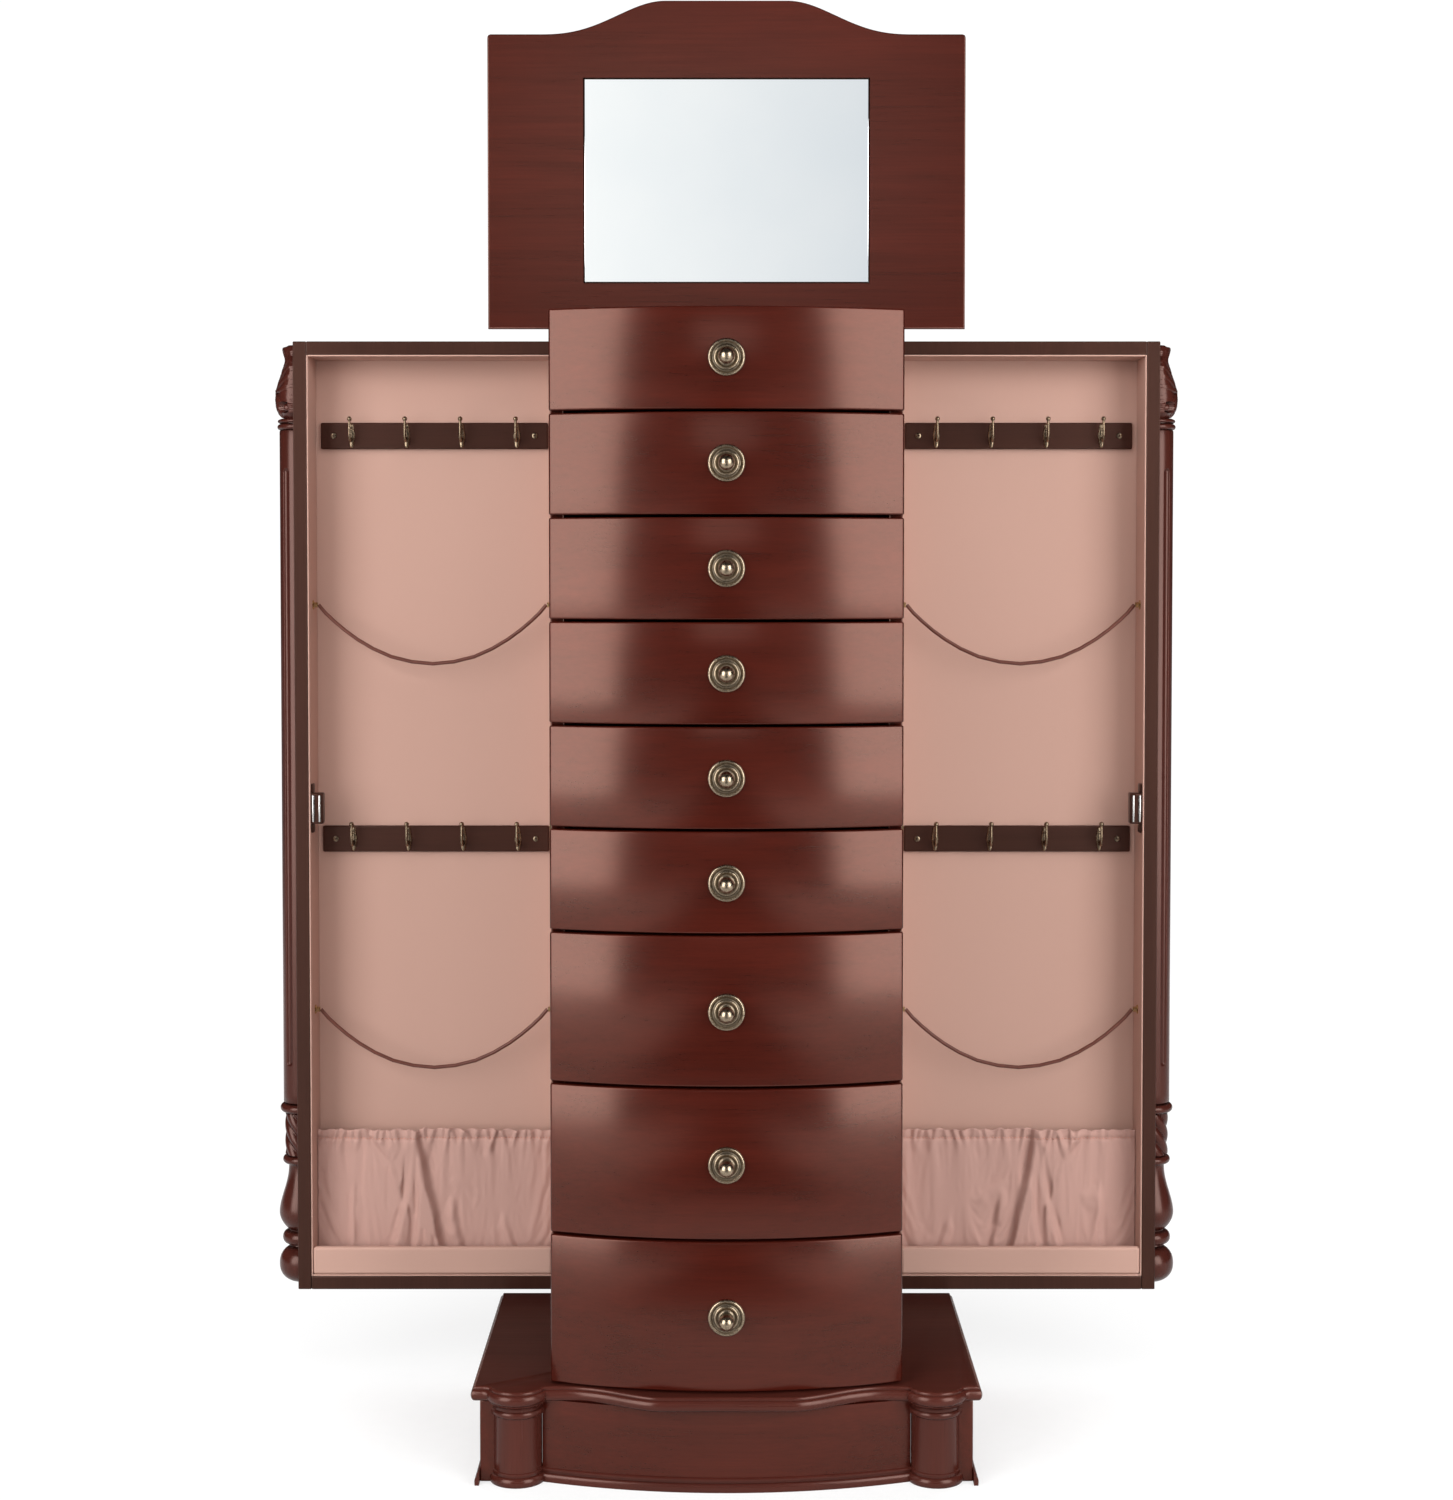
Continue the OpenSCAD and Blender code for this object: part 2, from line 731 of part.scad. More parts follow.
ring_z = column_foot + ball_h;
vase_z = ring_z + ring_h;
low_ring_z = vase_z + vase_h;
twist_z = low_ring_z + twist_ring_h;
high_ring_z = twist_z + twist_h;
shaft_z = high_ring_z + twist_ring_h + 1;
capital_z = door_z1 - door_z0 - capital_h - 2;
collar_z = capital_z - collar_h;

// Vase: full near its foot, drawn in to the neck
function vase_profile() = [
    for (t = [0 : 0.05 : 1])
        let (s = t < 0.3 ? sin(300 * t) : (1 + cos(180 * (t - 0.3) / 0.7)) / 2)
        [neck_r + (vase_r - neck_r) * s, vase_z + vase_h * t]];

function column_profile() = concat(
    [[0, column_foot]],
    bead(column_foot, ring_z, 8, vase_r - 8),
    bead(ring_z, vase_z, neck_r, column_ring_r - neck_r),
    vase_profile(),
    bead(low_ring_z, twist_z, neck_r, column_ring_r - neck_r - 2),
    [[twist_r, twist_z], [twist_r, high_ring_z]],
    bead(high_ring_z, shaft_z - 1, neck_r, column_ring_r - neck_r),
    [[shaft_r, shaft_z], [shaft_r, collar_z]],
    bead(collar_z, capital_z, shaft_r, 1.6),
    [[0, capital_z]]);

// Leaf-shaped outline of the capital, from its bottom edge upwards
module capital_outline() {
    w = capital_w / 2;
    h = capital_h;
    polygon([[-0.8 * w, 0], [0.8 * w, 0], [w, 0.1 * h], [w, 0.22 * h],
             [0.82 * w, 0.45 * h], [0.78 * w, 0.72 * h], [0.5 * w, 0.86 * h],
             [0.42 * w, h], [-0.42 * w, h], [-0.5 * w, 0.86 * h],
             [-0.78 * w, 0.72 * h], [-0.82 * w, 0.45 * h], [-w, 0.22 * h],
             [-w, 0.1 * h]]);
}

// Split turning glued to the stile: shaft with three stopped flutes
module door_column(side) {
    big = 2 * vase_r;
    color(cherry) door_pose(side) translate([column_x, 0, door_z0]) {
        intersection() {
            translate([0, column_y, 0]) difference() {
                rotate_extrude($fn = 64) polygon(column_profile());
                for (a = [-57, 0, 57]) rotate([0, 0, a])
                    translate([0, -shaft_r - 0.6, shaft_z + flute_end])
                        cylinder(r = flute_r, h = collar_z - shaft_z - 2 * flute_end, $fn = 24);
            }
            board([-big, face_y - big, 0], [big, face_y, door_z1 - door_z0]);
        }
        translate([0, face_y, capital_z]) rotate([90, 0, 0])
            linear_extrude(capital_t) capital_outline();
    }
}

// ---------------------------------------------------------------- base

// Half of the top board's outline, from the middle of its front to its back
function board_half() = concat(
    [for (x = [0 : 6 : column_x - bulge_r - 6])
        [x, base_ear_y - base_bow * swell(x, stack_w / 2 - base_curve_inset, base_curve_run)]],
    [for (a = [205 : 10 : 335])
        [column_x + bulge_r * cos(a), face_y + bulge_r * sin(a)]],
    [[base_w / 2 - 10, base_ear_y], [base_w / 2, base_ear_y], [base_w / 2, base_back_y]]);

module board_outline() {
    half = board_half();
    n = len(half);
    polygon(concat(half, [for (i = [n - 1 : -1 : 1]) [-half[i][0], half[i][1]]]));
}

// Top board with a rounded edge, built up in layers
module base_top_board() {
    layers = 5;
    nose = base_board_t / 3;
    color(cherry) for (k = [0 : layers - 1]) {
        q = 180 * (k + 0.5) / layers - 90;
        translate([0, 0, panel_z1 + k * base_board_t / layers])
            linear_extrude(base_board_t / layers + (k < layers - 1 ? 0.01 : 0))
                offset(delta = nose * (cos(q) - 1)) board_outline();
    }
}

// Arc of a board between heights z0 and z1, out past the panel's face by out
module bowed_strip(z0, z1, out, thick, end_x) {
    r = arc_r(panel_end_x, panel_bow);
    translate([0, panel_end_y - panel_bow + r, z0]) intersection() {
        difference() {
            cylinder(r = r + out, h = z1 - z0, $fn = 360);
            translate([0, 0, -1]) cylinder(r = r + out - thick, h = z1 - z0 + 2, $fn = 360);
        }
        board([-end_x, -r - out - 1, -1], [end_x, -r + panel_bow + thick, z1 - z0 + 1]);
    }
}

// Its ends are hollowed for the pilasters' foot and neck rings
module base_front_panel() {
    foot_top = foot_h + seam;
    neck = pilaster_neck_z - seam;
    color(cherry) difference() {
        bowed_strip(0, panel_z1, 0, base_panel_t, panel_end_x);
        both_sides() translate([column_x, face_y, 0]) {
            translate([0, 0, -1]) cylinder(r = pilaster_foot_r + 0.3, h = foot_top + 1, $fn = 64);
            translate([0, 0, neck])
                cylinder(r = pilaster_ring_r + 0.3, h = panel_z1 - neck + 1, $fn = 64);
        }
    }
}

// Side panels, back panel and the brace under the middle of the top board
module base_frame() {
    x0 = base_side_x - base_panel_t;
    xi = x0 - seam;
    yi = base_panel_y1 - base_panel_t;
    brace_y0 = panel_end_y - panel_bow + base_panel_t + seam;
    color(cherry) {
        both_sides()
            board([x0, base_side_front_y, 0], [base_side_x, base_panel_y1, panel_z1]);
        board([-xi, yi, 0], [xi, base_panel_y1, panel_z1]);
        board([-base_panel_t / 2, brace_y0, 0], [base_panel_t / 2, yi - seam, panel_z1]);
    }
}

// Turned corner pilasters, notched round the side panels
module base_pilasters() {
    x0 = base_side_x - base_panel_t;
    neck = pilaster_neck_z;
    profile = concat(
        [[0, 0]],
        bead(0, foot_h, pilaster_r, pilaster_foot_r - pilaster_r),
        [[pilaster_r, foot_h], [pilaster_r, neck]],
        bead(neck, neck + 6, pilaster_r, pilaster_ring_r - pilaster_r),
        [[pilaster_r + 1, panel_z1], [0, panel_z1]]);
    color(cherry) both_sides() difference() {
        translate([column_x, face_y, 0]) rotate_extrude($fn = 64) polygon(profile);
        board([x0, base_side_front_y, -1], [base_side_x + 20, back_y, panel_z1 + 1]);
    }
}

// Foot moulding along the front and the sides, in two steps
module base_foot_moulding() {
    yb = base_panel_y1;
    strip_end = column_x - pilaster_r - 4;
    color(cherry) {
        bowed_strip(0, foot_h - 4, foot_out, foot_out, strip_end);
        bowed_strip(foot_h - 4, foot_h, foot_out / 2, foot_out / 2, strip_end);
        both_sides() {
            board([base_side_x, base_side_front_y, 0],
                  [base_side_x + foot_out, yb, foot_h - 4]);
            board([base_side_x, base_side_front_y, foot_h - 4],
                  [base_side_x + foot_out / 2, yb, foot_h]);
        }
    }
}

// ---------------------------------------------------------------- nodes

base_top_board();
base_front_panel();
base_frame();
base_pilasters();
base_foot_moulding();
carcass_sides();
carcass_back();
drawer_runners();
top_front();
top_front_knob();
top_tray();
ring_rolls();
carcass_fittings();
lid_board();
lid_mirror();
lid_hinge_leaves();
door_frame(-1);  // door_left_frame
door_panel(-1);  // door_left_panel
door_lining(-1);  // door_left_lining
door_column(-1);  // door_left_column
door_hook_rails(-1);  // door_left_hook_rails
door_hooks(-1);  // door_left_hooks
door_cord(-1, 0);  // door_left_upper_cord
door_cord(-1, 1);  // door_left_lower_cord
door_pouch(-1);  // door_left_pouch
door_fittings(-1);  // door_left_fittings
door_frame(1);  // door_right_frame
door_panel(1);  // door_right_panel
door_lining(1);  // door_right_lining
door_column(1);  // door_right_column
door_hook_rails(1);  // door_right_hook_rails
door_hooks(1);  // door_right_hooks
door_cord(1, 0);  // door_right_upper_cord
door_cord(1, 1);  // door_right_lower_cord
door_pouch(1);  // door_right_pouch
door_fittings(1);  // door_right_fittings
for (i = [1 : drawer_count]) {
    drawer_front(i);
    drawer_box(i);
    drawer_knob(i);
}
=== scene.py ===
"""Jewelry armoire with bowed drawers, lined side doors and a mirrored lid.

Lengths are metres, +Z is up and the drawers face -Y.  The joinery's sizes come
from the frame; this file gives each piece its finished shape and its finish.
"""

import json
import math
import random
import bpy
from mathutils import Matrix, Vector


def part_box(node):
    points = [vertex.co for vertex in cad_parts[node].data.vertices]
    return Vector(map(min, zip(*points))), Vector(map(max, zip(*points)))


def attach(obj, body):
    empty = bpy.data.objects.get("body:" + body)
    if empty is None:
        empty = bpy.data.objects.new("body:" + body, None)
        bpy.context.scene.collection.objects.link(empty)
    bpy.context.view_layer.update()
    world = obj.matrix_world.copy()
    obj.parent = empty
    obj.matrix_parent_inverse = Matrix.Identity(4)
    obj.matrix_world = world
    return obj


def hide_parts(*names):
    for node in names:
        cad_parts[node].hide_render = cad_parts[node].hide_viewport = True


bl_info = {
    "name": "Jewelry Armoire",
    "version": (1, 0, 0),
    "blender": (4, 5, 0),
    "location": "3D View > Sidebar > Armoire",
    "description": "Builds a bow-fronted jewelry armoire with its linings and fittings",
    "category": "Add Mesh",
}

import bmesh
import bpy
import numpy as np
from bpy.props import FloatProperty, FloatVectorProperty, IntProperty, PointerProperty
from mathutils import Matrix, Vector, noise

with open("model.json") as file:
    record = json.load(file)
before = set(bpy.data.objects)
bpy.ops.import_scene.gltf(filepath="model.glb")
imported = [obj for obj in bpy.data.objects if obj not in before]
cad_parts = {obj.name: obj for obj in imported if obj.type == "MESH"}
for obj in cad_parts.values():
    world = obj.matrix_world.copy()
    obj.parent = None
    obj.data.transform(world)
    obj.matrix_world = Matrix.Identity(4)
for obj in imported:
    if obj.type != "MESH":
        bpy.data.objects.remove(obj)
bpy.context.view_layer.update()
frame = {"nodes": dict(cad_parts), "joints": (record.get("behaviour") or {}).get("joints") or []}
NODES = frame["nodes"]
JOINTS = {joint["name"]: joint for joint in frame["joints"]}
DRAWERS = range(1, 9)
SIDES = {"left": -1, "right": 1}

PILASTER_REACH = 0.025    # from a base pilaster's box to its axis
CLOTH_ACROSS = 150        # cells of a pouch's cloth
CLOTH_UP = 78
SETTLE_FRAMES = 10
SETTLE_REACH = 0.004      # farthest that the settling moves a point of the cloth


# ------------------------------------------------------------------ settings


def colour(name, description, value):
    """A colour property in linear light."""
    return FloatVectorProperty(name=name, description=description, default=value, size=3,
                               min=0.0, max=1.0, subtype="COLOR")


def length(name, description, value):
    """A length property in metres."""
    return FloatProperty(name=name, description=description, default=value, min=0.0,
                         subtype="DISTANCE", unit="LENGTH", precision=4)


class ArmoireFinishes(bpy.types.PropertyGroup):
    """Colours of the armoire's finishes."""

    cherry: colour("Cherry", "Stained veneer of the fronts, lid and panels", (0.063, 0.0080, 0.0043))
    cherry_dark: colour("Cherry grain", "Darker figure in the veneer", (0.027, 0.0036, 0.0019))
    moulding: colour("Mouldings", "Stain on the turnings and edges", (0.070, 0.015, 0.010))
    espresso: colour("Espresso", "Stain on the doors' frames and rails", (0.041, 0.0145, 0.0098))
    velvet: colour("Velvet", "Flocked lining", (0.610, 0.385, 0.310))
    satin: colour("Satin", "Cloth of the pouches", (0.265, 0.124, 0.092))
    leather: colour("Leather", "Necklace cords", (0.130, 0.036, 0.022))
    brass: colour("Antique brass", "Knobs", (0.450, 0.355, 0.250))
    bronze: colour("Antique bronze", "Hooks", (0.300, 0.225, 0.150))


class ArmoireSizes(bpy.types.PropertyGroup):
    """Sizes of the small shapes that the joinery leaves open."""

    board_ease: length("Board easing", "Rounding of the boards' edges", 0.0009)
    front_ease: length("Front easing", "Rounding of the drawer fronts' edges", 0.0016)
    lining_ease: length("Lining easing", "Rounding of the lined boards' edges", 0.0006)
    flute_depth: length("Flute depth", "Depth of the flutes in the columns", 0.0021)
    rope_depth: length("Rope depth", "Depth of the cuts between a column's rope strands", 0.0030)
    rope_strands: IntProperty(name="Rope strands", description="Strands in a column's rope twist",
                              default=6, min=3, max=12)
    cord_radius: length("Cord radius", "Radius of the leather necklace cords", 0.0018)
    pouch_fullness: FloatProperty(name="Pouch fullness", default=0.15, min=0.0, max=0.5,
                                  description="Share of spare cloth gathered into a pouch")


# ------------------------------------------------------------------ measures


def solids(node):
    """Lowest and highest corners of each separate solid of a node, lowest first."""
    bm = bmesh.new()
    bm.from_mesh(NODES[node].data)
    bmesh.ops.remove_doubles(bm, verts=bm.verts, dist=1e-6)
    unseen, found = set(bm.verts), []
    while unseen:
        reached = [unseen.pop()]
        for vert in reached:
            for edge in vert.link_edges:
                other = edge.other_vert(vert)
                if other in unseen:
                    unseen.discard(other)
                    reached.append(other)
        low = Vector([min(vert.co[k] for vert in reached) for k in range(3)])
        high = Vector([max(vert.co[k] for vert in reached) for k in range(3)])
        found.append((low, high))
    bm.free()
    return sorted(found, key=lambda pair: tuple(round(x, 5) for x in (pair[0].z, pair[0].x, pair[0].y)))


def middle(pair):
    """Middle of a box given by its two corners."""
    return (pair[0] + pair[1]) / 2


def smooth_step(t):
    """0 to 1 with a gentle start and end."""
    t = min(1.0, max(0.0, t))
    return t * t * (3 - 2 * t)


LID_PIN = Vector(JOINTS["lid_hinge"]["pos_m"])
LID_OPEN = (Matrix.Translation(LID_PIN) @ Matrix.Rotation(math.radians(-90), 4, "X")
            @ Matrix.Translation(-LID_PIN))


# ------------------------------------------------------------------ mesh tools


def add_board(bm, low, high, ease, segments=2):
    """Adds a board with rounded edges and returns its faces."""
    low, high = Vector(low), Vector(high)
    others = set(bm.faces)
    verts = bmesh.ops.create_cube(bm, size=1.0)["verts"]
    bmesh.ops.scale(bm, vec=high - low, verts=verts)
    bmesh.ops.translate(bm, vec=(low + high) / 2, verts=verts)
    if ease > 0:
        edges = list({edge for vert in verts for edge in vert.link_edges})
        bmesh.ops.bevel(bm, geom=edges, offset=min(ease, min(high - low) * 0.45), affect="EDGES",
                        segments=segments, profile=0.5, material=-1)
    return [face for face in bm.faces if face not in others]


def add_turning(bm, profile, steps, angle=2 * math.pi, place=Matrix.Identity(4)):
    """Spins (radius, height) points about Z, closes the ends and puts the turning in place."""
    others = set(bm.verts)
    verts = [bm.verts.new((radius, 0, height)) for radius, height in profile]
    edges = [bm.edges.new(pair) for pair in zip(verts, verts[1:])]
    whole = angle > 2 * math.pi - 1e-6
    bmesh.ops.spin(bm, geom=verts + edges, cent=(0, 0, 0), axis=(0, 0, 1), angle=angle,
                   steps=steps, use_merge=whole, use_duplicate=False)
    made = [vert for vert in bm.verts if vert not in others]
    bmesh.ops.remove_doubles(bm, verts=made, dist=1e-6)
    made = [vert for vert in bm.verts if vert not in others]
    if not whole:
        rim = {edge for vert in made for edge in vert.link_edges if edge.is_boundary}
        bmesh.ops.holes_fill(bm, edges=list(rim), sides=0)
    faces = list({face for vert in made for face in vert.link_faces})
    bmesh.ops.recalc_face_normals(bm, faces=faces)
    bmesh.ops.transform(bm, matrix=place, verts=made)
    if place.determinant() < 0:
        bmesh.ops.reverse_faces(bm, faces=faces)
    return faces


def add_rod(bm, points, radii, sides=12):
    """Adds a round rod with closed ends along a smooth line through points."""
    curve = bpy.data.curves.new("rod", "CURVE")
    curve.dimensions = "3D"
    curve.bevel_depth = 1.0
    curve.bevel_resolution = max(1, sides // 4 - 1)
    curve.use_fill_caps = True
    spline = curve.splines.new("NURBS")
    spline.points.add(len(points) - 1)
    for slot, point, radius in zip(spline.points, points, radii):
        slot.co = (*point, 1.0)
        slot.radius = radius
    spline.use_endpoint_u = True
    spline.order_u = 3
    spline.resolution_u = 5
    holder = bpy.data.objects.new("rod", curve)
    bpy.context.collection.objects.link(holder)
    bpy.context.view_layer.update()
    mesh = bpy.data.meshes.new_from_object(holder.evaluated_get(bpy.context.evaluated_depsgraph_get()))
    others = set(bm.faces)
    bm.from_mesh(mesh)
    bpy.data.objects.remove(holder)
    bpy.data.curves.remove(curve)
    bpy.data.meshes.remove(mesh)
    return [face for face in bm.faces if face not in others]


def add_ball(bm, centre, radius, segments=16, squeeze=(1, 1, 1)):
    """Adds a ball, squeezed along the axes."""
    place = Matrix.Translation(centre) @ Matrix.Diagonal((*[radius * s for s in squeeze], 1))
    bmesh.ops.create_uvsphere(bm, u_segments=segments, v_segments=segments // 2, radius=1.0,
                              matrix=place)


def add_slab(bm, outline, layers):
    """Builds up a closed slab from an outline of (x, y) points: each layer is (inset, height)."""
    count = len(outline)
    normals = []
    for k in range(count):
        before, after = Vector(outline[k - 1]), Vector(outline[(k + 1) % count])
        here = Vector(outline[k])
        first = (here - before).normalized()
        second = (after - here).normalized()
        normal = Vector((-(first.y + second.y), first.x + second.x)).normalized()
        normals.append(normal / max(0.5, normal.dot(Vector((-first.y, first.x)))))
    others = set(bm.faces)
    rings = []
    for inset, height in layers:
        ring = [bm.verts.new((*(Vector(point) + normal * inset), height))
                for point, normal in zip(outline, normals)]
        for pair in zip(ring, ring[1:] + ring[:1]):
            bm.edges.new(pair)
        rings.append(ring)
    for lower, upper in zip(rings, rings[1:]):
        edges = [bm.edges.get(pair) for ring in (lower, upper)
                 for pair in zip(ring, ring[1:] + ring[:1])]
        bmesh.ops.bridge_loops(bm, edges=edges)
    for ring in (rings[0], rings[-1]):
        bmesh.ops.contextual_create(bm, geom=[bm.edges.get(pair)
                                              for pair in zip(ring, ring[1:] + ring[:1])])
    faces = [face for face in bm.faces if face not in others]
    bmesh.ops.recalc_face_normals(bm, faces=faces)
    return faces


def make_piece(name, bm, body, materials, stands_for=(), sharp=32, flat_area=4e-4):
    """Turns a bmesh into a finished piece that moves with a body."""
    mesh = bpy.data.meshes.new(name)
    bm.to_mesh(mesh)
    bm.free()
    for material in materials:
        mesh.materials.append(material)
    mesh.shade_smooth()
    mesh.set_sharp_from_angle(angle=math.radians(sharp))
    if flat_area:
        for polygon in mesh.polygons:
            if polygon.area > flat_area and len(polygon.vertices) == 4:
                polygon.use_smooth = False
    piece = bpy.data.objects.new(name, mesh)
    bpy.context.collection.objects.link(piece)
    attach(piece, body)
    if stands_for:
        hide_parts(*stands_for)
    return piece


def boards_like(node, ease, segments=2):
    """A bmesh of eased boards, one for each solid of a node."""
    bm = bmesh.new()
    for low, high in solids(node):
        add_board(bm, low, high, ease, segments)
    return bm


# ------------------------------------------------------------------ node groups


def node_group(name, inputs, outputs):
    """A new shader node group with its group input and output nodes."""
    group = bpy.data.node_groups.new(name, "ShaderNodeTree")
    for label, kind in inputs:
        group.interface.new_socket(label, in_out="INPUT", socket_type="NodeSocket" + kind)
    for label, kind in outputs:
        group.interface.new_socket(label, in_out="OUTPUT", socket_type="NodeSocket" + kind)
    return group, group.nodes.new("NodeGroupInput"), group.nodes.new("NodeGroupOutput")


class Wires:
    """Adds nodes to a tree and joins them up."""

    def __init__(self, tree):
        self.tree = tree

    def node(self, kind, **values):
        made = self.tree.nodes.new("ShaderNode" + kind)
        for key, value in values.items():
            setattr(made, key, value)
        return made

    def link(self, output, socket):
        self.tree.links.new(output, socket)

    def feed(self, socket, value):
        """Links an output to a socket, or sets the socket to a plain value."""
        if isinstance(value, bpy.types.NodeSocket):
            self.tree.links.new(value, socket)
        else:
            socket.default_value = value

    def math(self, operation, a, b=0.0, c=0.0, clamp=False):
        made = self.node("Math", operation=operation, use_clamp=clamp)
        for socket, value in zip(made.inputs, (a, b, c)):
            self.feed(socket, value)
        return made.outputs[0]

    def stretch(self, vector, scale):
        made = self.node("VectorMath", operation="MULTIPLY")
        self.feed(made.inputs[0], vector)
        self.feed(made.inputs[1], scale)
        return made.outputs[0]

    def noise(self, vector, scale=1.0, detail=4.0, rough=0.55, distortion=0.0):
        made = self.node("TexNoise")
        for label, value in (("Vector", vector), ("Scale", scale), ("Detail", detail),
                             ("Roughness", rough), ("Distortion", distortion)):
            self.feed(made.inputs[label], value)
        return made.outputs["Fac"]

    def remap(self, value, low, high, to_low=0.0, to_high=1.0, smooth=False):
        made = self.node("MapRange", interpolation_type="SMOOTHSTEP" if smooth else "LINEAR")
        for label, number in (("Value", value), ("From Min", low), ("From Max", high),
                              ("To Min", to_low), ("To Max", to_high)):
            self.feed(made.inputs[label], number)
        return made.outputs[0]

    def mix(self, factor, a, b, blend="MIX"):
        made = self.node("Mix", data_type="RGBA", blend_type=blend)
        self.feed(made.inputs["Factor"], factor)
        self.feed(made.inputs[6], a)
        self.feed(made.inputs[7], b)
        return made.outputs[2]


def wood_grain_group():
    """Veneer: long fibres, broad figure and fine pores along X of its vector."""
    group, source, sink = node_group(
        "wood_grain",
        [("Vector", "Vector"), ("Light", "Color"), ("Dark", "Color"), ("Figure", "Float"),
         ("Pores", "Float")],
        [("Color", "Color"), ("Roughness", "Float"), ("Height", "Float")])
    w = Wires(group)
    vector = source.outputs["Vector"]
    figure = w.noise(w.stretch(vector, (2.2, 26.0, 26.0)), 1.0, 5.0, 0.6, 0.6)
    fibres = w.noise(w.stretch(vector, (9.0, 420.0, 420.0)), 1.0, 3.0, 0.6, 0.15)
    bands = w.noise(w.stretch(vector, (3.0, 95.0, 95.0)), 1.0, 4.0, 0.65, 0.3)
    pores = w.noise(w.stretch(vector, (38.0, 1500.0, 1500.0)), 1.0, 1.0, 0.5)
    cloud = w.noise(w.stretch(vector, (5.0, 7.0, 7.0)), 1.0, 2.0, 0.5)
    streak = w.math("ADD", w.math("MULTIPLY", w.remap(figure, 0.36, 0.66), 0.45),
                    w.math("MULTIPLY", w.remap(bands, 0.35, 0.68), 0.35))
    streak = w.math("ADD", streak, w.math("MULTIPLY", w.remap(fibres, 0.32, 0.70), 0.30))
    streak = w.math("MULTIPLY", streak, source.outputs["Figure"], clamp=True)
    base = w.mix(streak, source.outputs["Light"], source.outputs["Dark"])
    pore = w.math("MULTIPLY", w.remap(pores, 0.60, 0.74), source.outputs["Pores"], clamp=True)
    base = w.mix(pore, base, w.mix(0.45, source.outputs["Dark"], (0, 0, 0, 1)))
    tone = w.remap(cloud, 0.3, 0.7, 0.90, 1.10)
    w.link(w.mix(1.0, base, w.mix(0.0, tone, (1, 1, 1, 1)), "MULTIPLY"), sink.inputs["Color"])
    w.link(w.remap(w.math("ADD", fibres, cloud), 0.6, 1.4, -0.03, 0.04), sink.inputs["Roughness"])
    w.link(w.math("SUBTRACT", w.math("MULTIPLY", fibres, 0.4), pore), sink.inputs["Height"])
    return group


def glaze_group():
    """Painted shade: darkens the colour towards a shade colour in corners and recesses found by ambient
    occlusion.
    """
    group, source, sink = node_group(
        "recess_glaze", [("Color", "Color"), ("Glaze", "Color"), ("Amount", "Float"), ("Reach", "Float")],
        [("Color", "Color"), ("Mask", "Float")])
    w = Wires(group)
    shade = w.node("AmbientOcclusion", samples=6, only_local=True)
    w.link(source.outputs["Reach"], shade.inputs["Distance"])
    # Painted shade: the darker the ambient occlusion, the more the colour turns to the shade colour
    mask = w.remap(shade.outputs["AO"], 0.35, 0.95, 1.0, 0.0)
    mask = w.math("MULTIPLY", mask, source.outputs["Amount"], clamp=True)
    w.link(w.mix(mask, source.outputs["Color"], source.outputs["Glaze"]), sink.inputs["Color"])
    w.link(mask, sink.inputs["Mask"])
    return group


def nap_group():
    """Short pile: a fine fleck, soft brushed patches and a fibre height."""
    group, source, sink = node_group(
        "nap", [("Vector", "Vector"), ("Color", "Color"), ("Fleck", "Float"), ("Patches", "Float")],
        [("Color", "Color"), ("Height", "Float")])
    w = Wires(group)
    vector = source.outputs["Vector"]
    fleck = w.noise(vector, 2600.0, 2.0, 0.6)
    brushed = w.noise(w.stretch(vector, (150.0, 150.0, 55.0)), 1.0, 5.0, 0.62, 0.5)
    amount = w.math("ADD", w.math("MULTIPLY", w.remap(fleck, 0.3, 0.7, -0.5, 0.5),
                                  source.outputs["Fleck"]),
                    w.math("MULTIPLY", w.remap(brushed, 0.3, 0.7, -0.5, 0.5),
                           source.outputs["Patches"]))
    value = w.node("HueSaturation")
    w.link(source.outputs["Color"], value.inputs["Color"])
    w.link(w.math("ADD", amount, 1.0), value.inputs["Value"])
    w.link(value.outputs[0], sink.inputs["Color"])
    w.link(fleck, sink.inputs["Height"])
    return group


def weave_group():
    """Fine crossed threads that follow the cloth's own UV map."""
    group, source, sink = node_group(
        "weave", [("Vector", "Vector"), ("Color", "Color"), ("Threads", "Float")],
        [("Color", "Color"), ("Height", "Float")])
    w = Wires(group)
    scaled = w.node("VectorMath", operation="SCALE")
    w.link(source.outputs["Vector"], scaled.inputs[0])
    w.link(source.outputs["Threads"], scaled.inputs["Scale"])
    split = w.node("SeparateXYZ")
    w.link(scaled.outputs[0], split.inputs[0])
    warp = w.math("ABSOLUTE", w.math("SINE", w.math("MULTIPLY", split.outputs["X"], math.pi)))
    weft = w.math("ABSOLUTE", w.math("SINE", w.math("MULTIPLY", split.outputs["Y"], math.pi)))
    height = w.math("ADD", w.math("MULTIPLY", warp, 0.7), w.math("MULTIPLY", weft, 0.3))
    slub = w.noise(w.stretch(source.outputs["Vector"], (30.0, 220.0, 1.0)), 1.0, 3.0, 0.6)
    value = w.node("HueSaturation")
    w.link(source.outputs["Color"], value.inputs["Color"])
    tone = w.math("ADD", w.remap(height, 0.0, 1.0, 0.93, 1.04), w.remap(slub, 0.3, 0.7, -0.05, 0.05))
    w.link(tone, value.inputs["Value"])
    w.link(value.outputs[0], sink.inputs["Color"])
    w.link(height, sink.inputs["Height"])
    return group


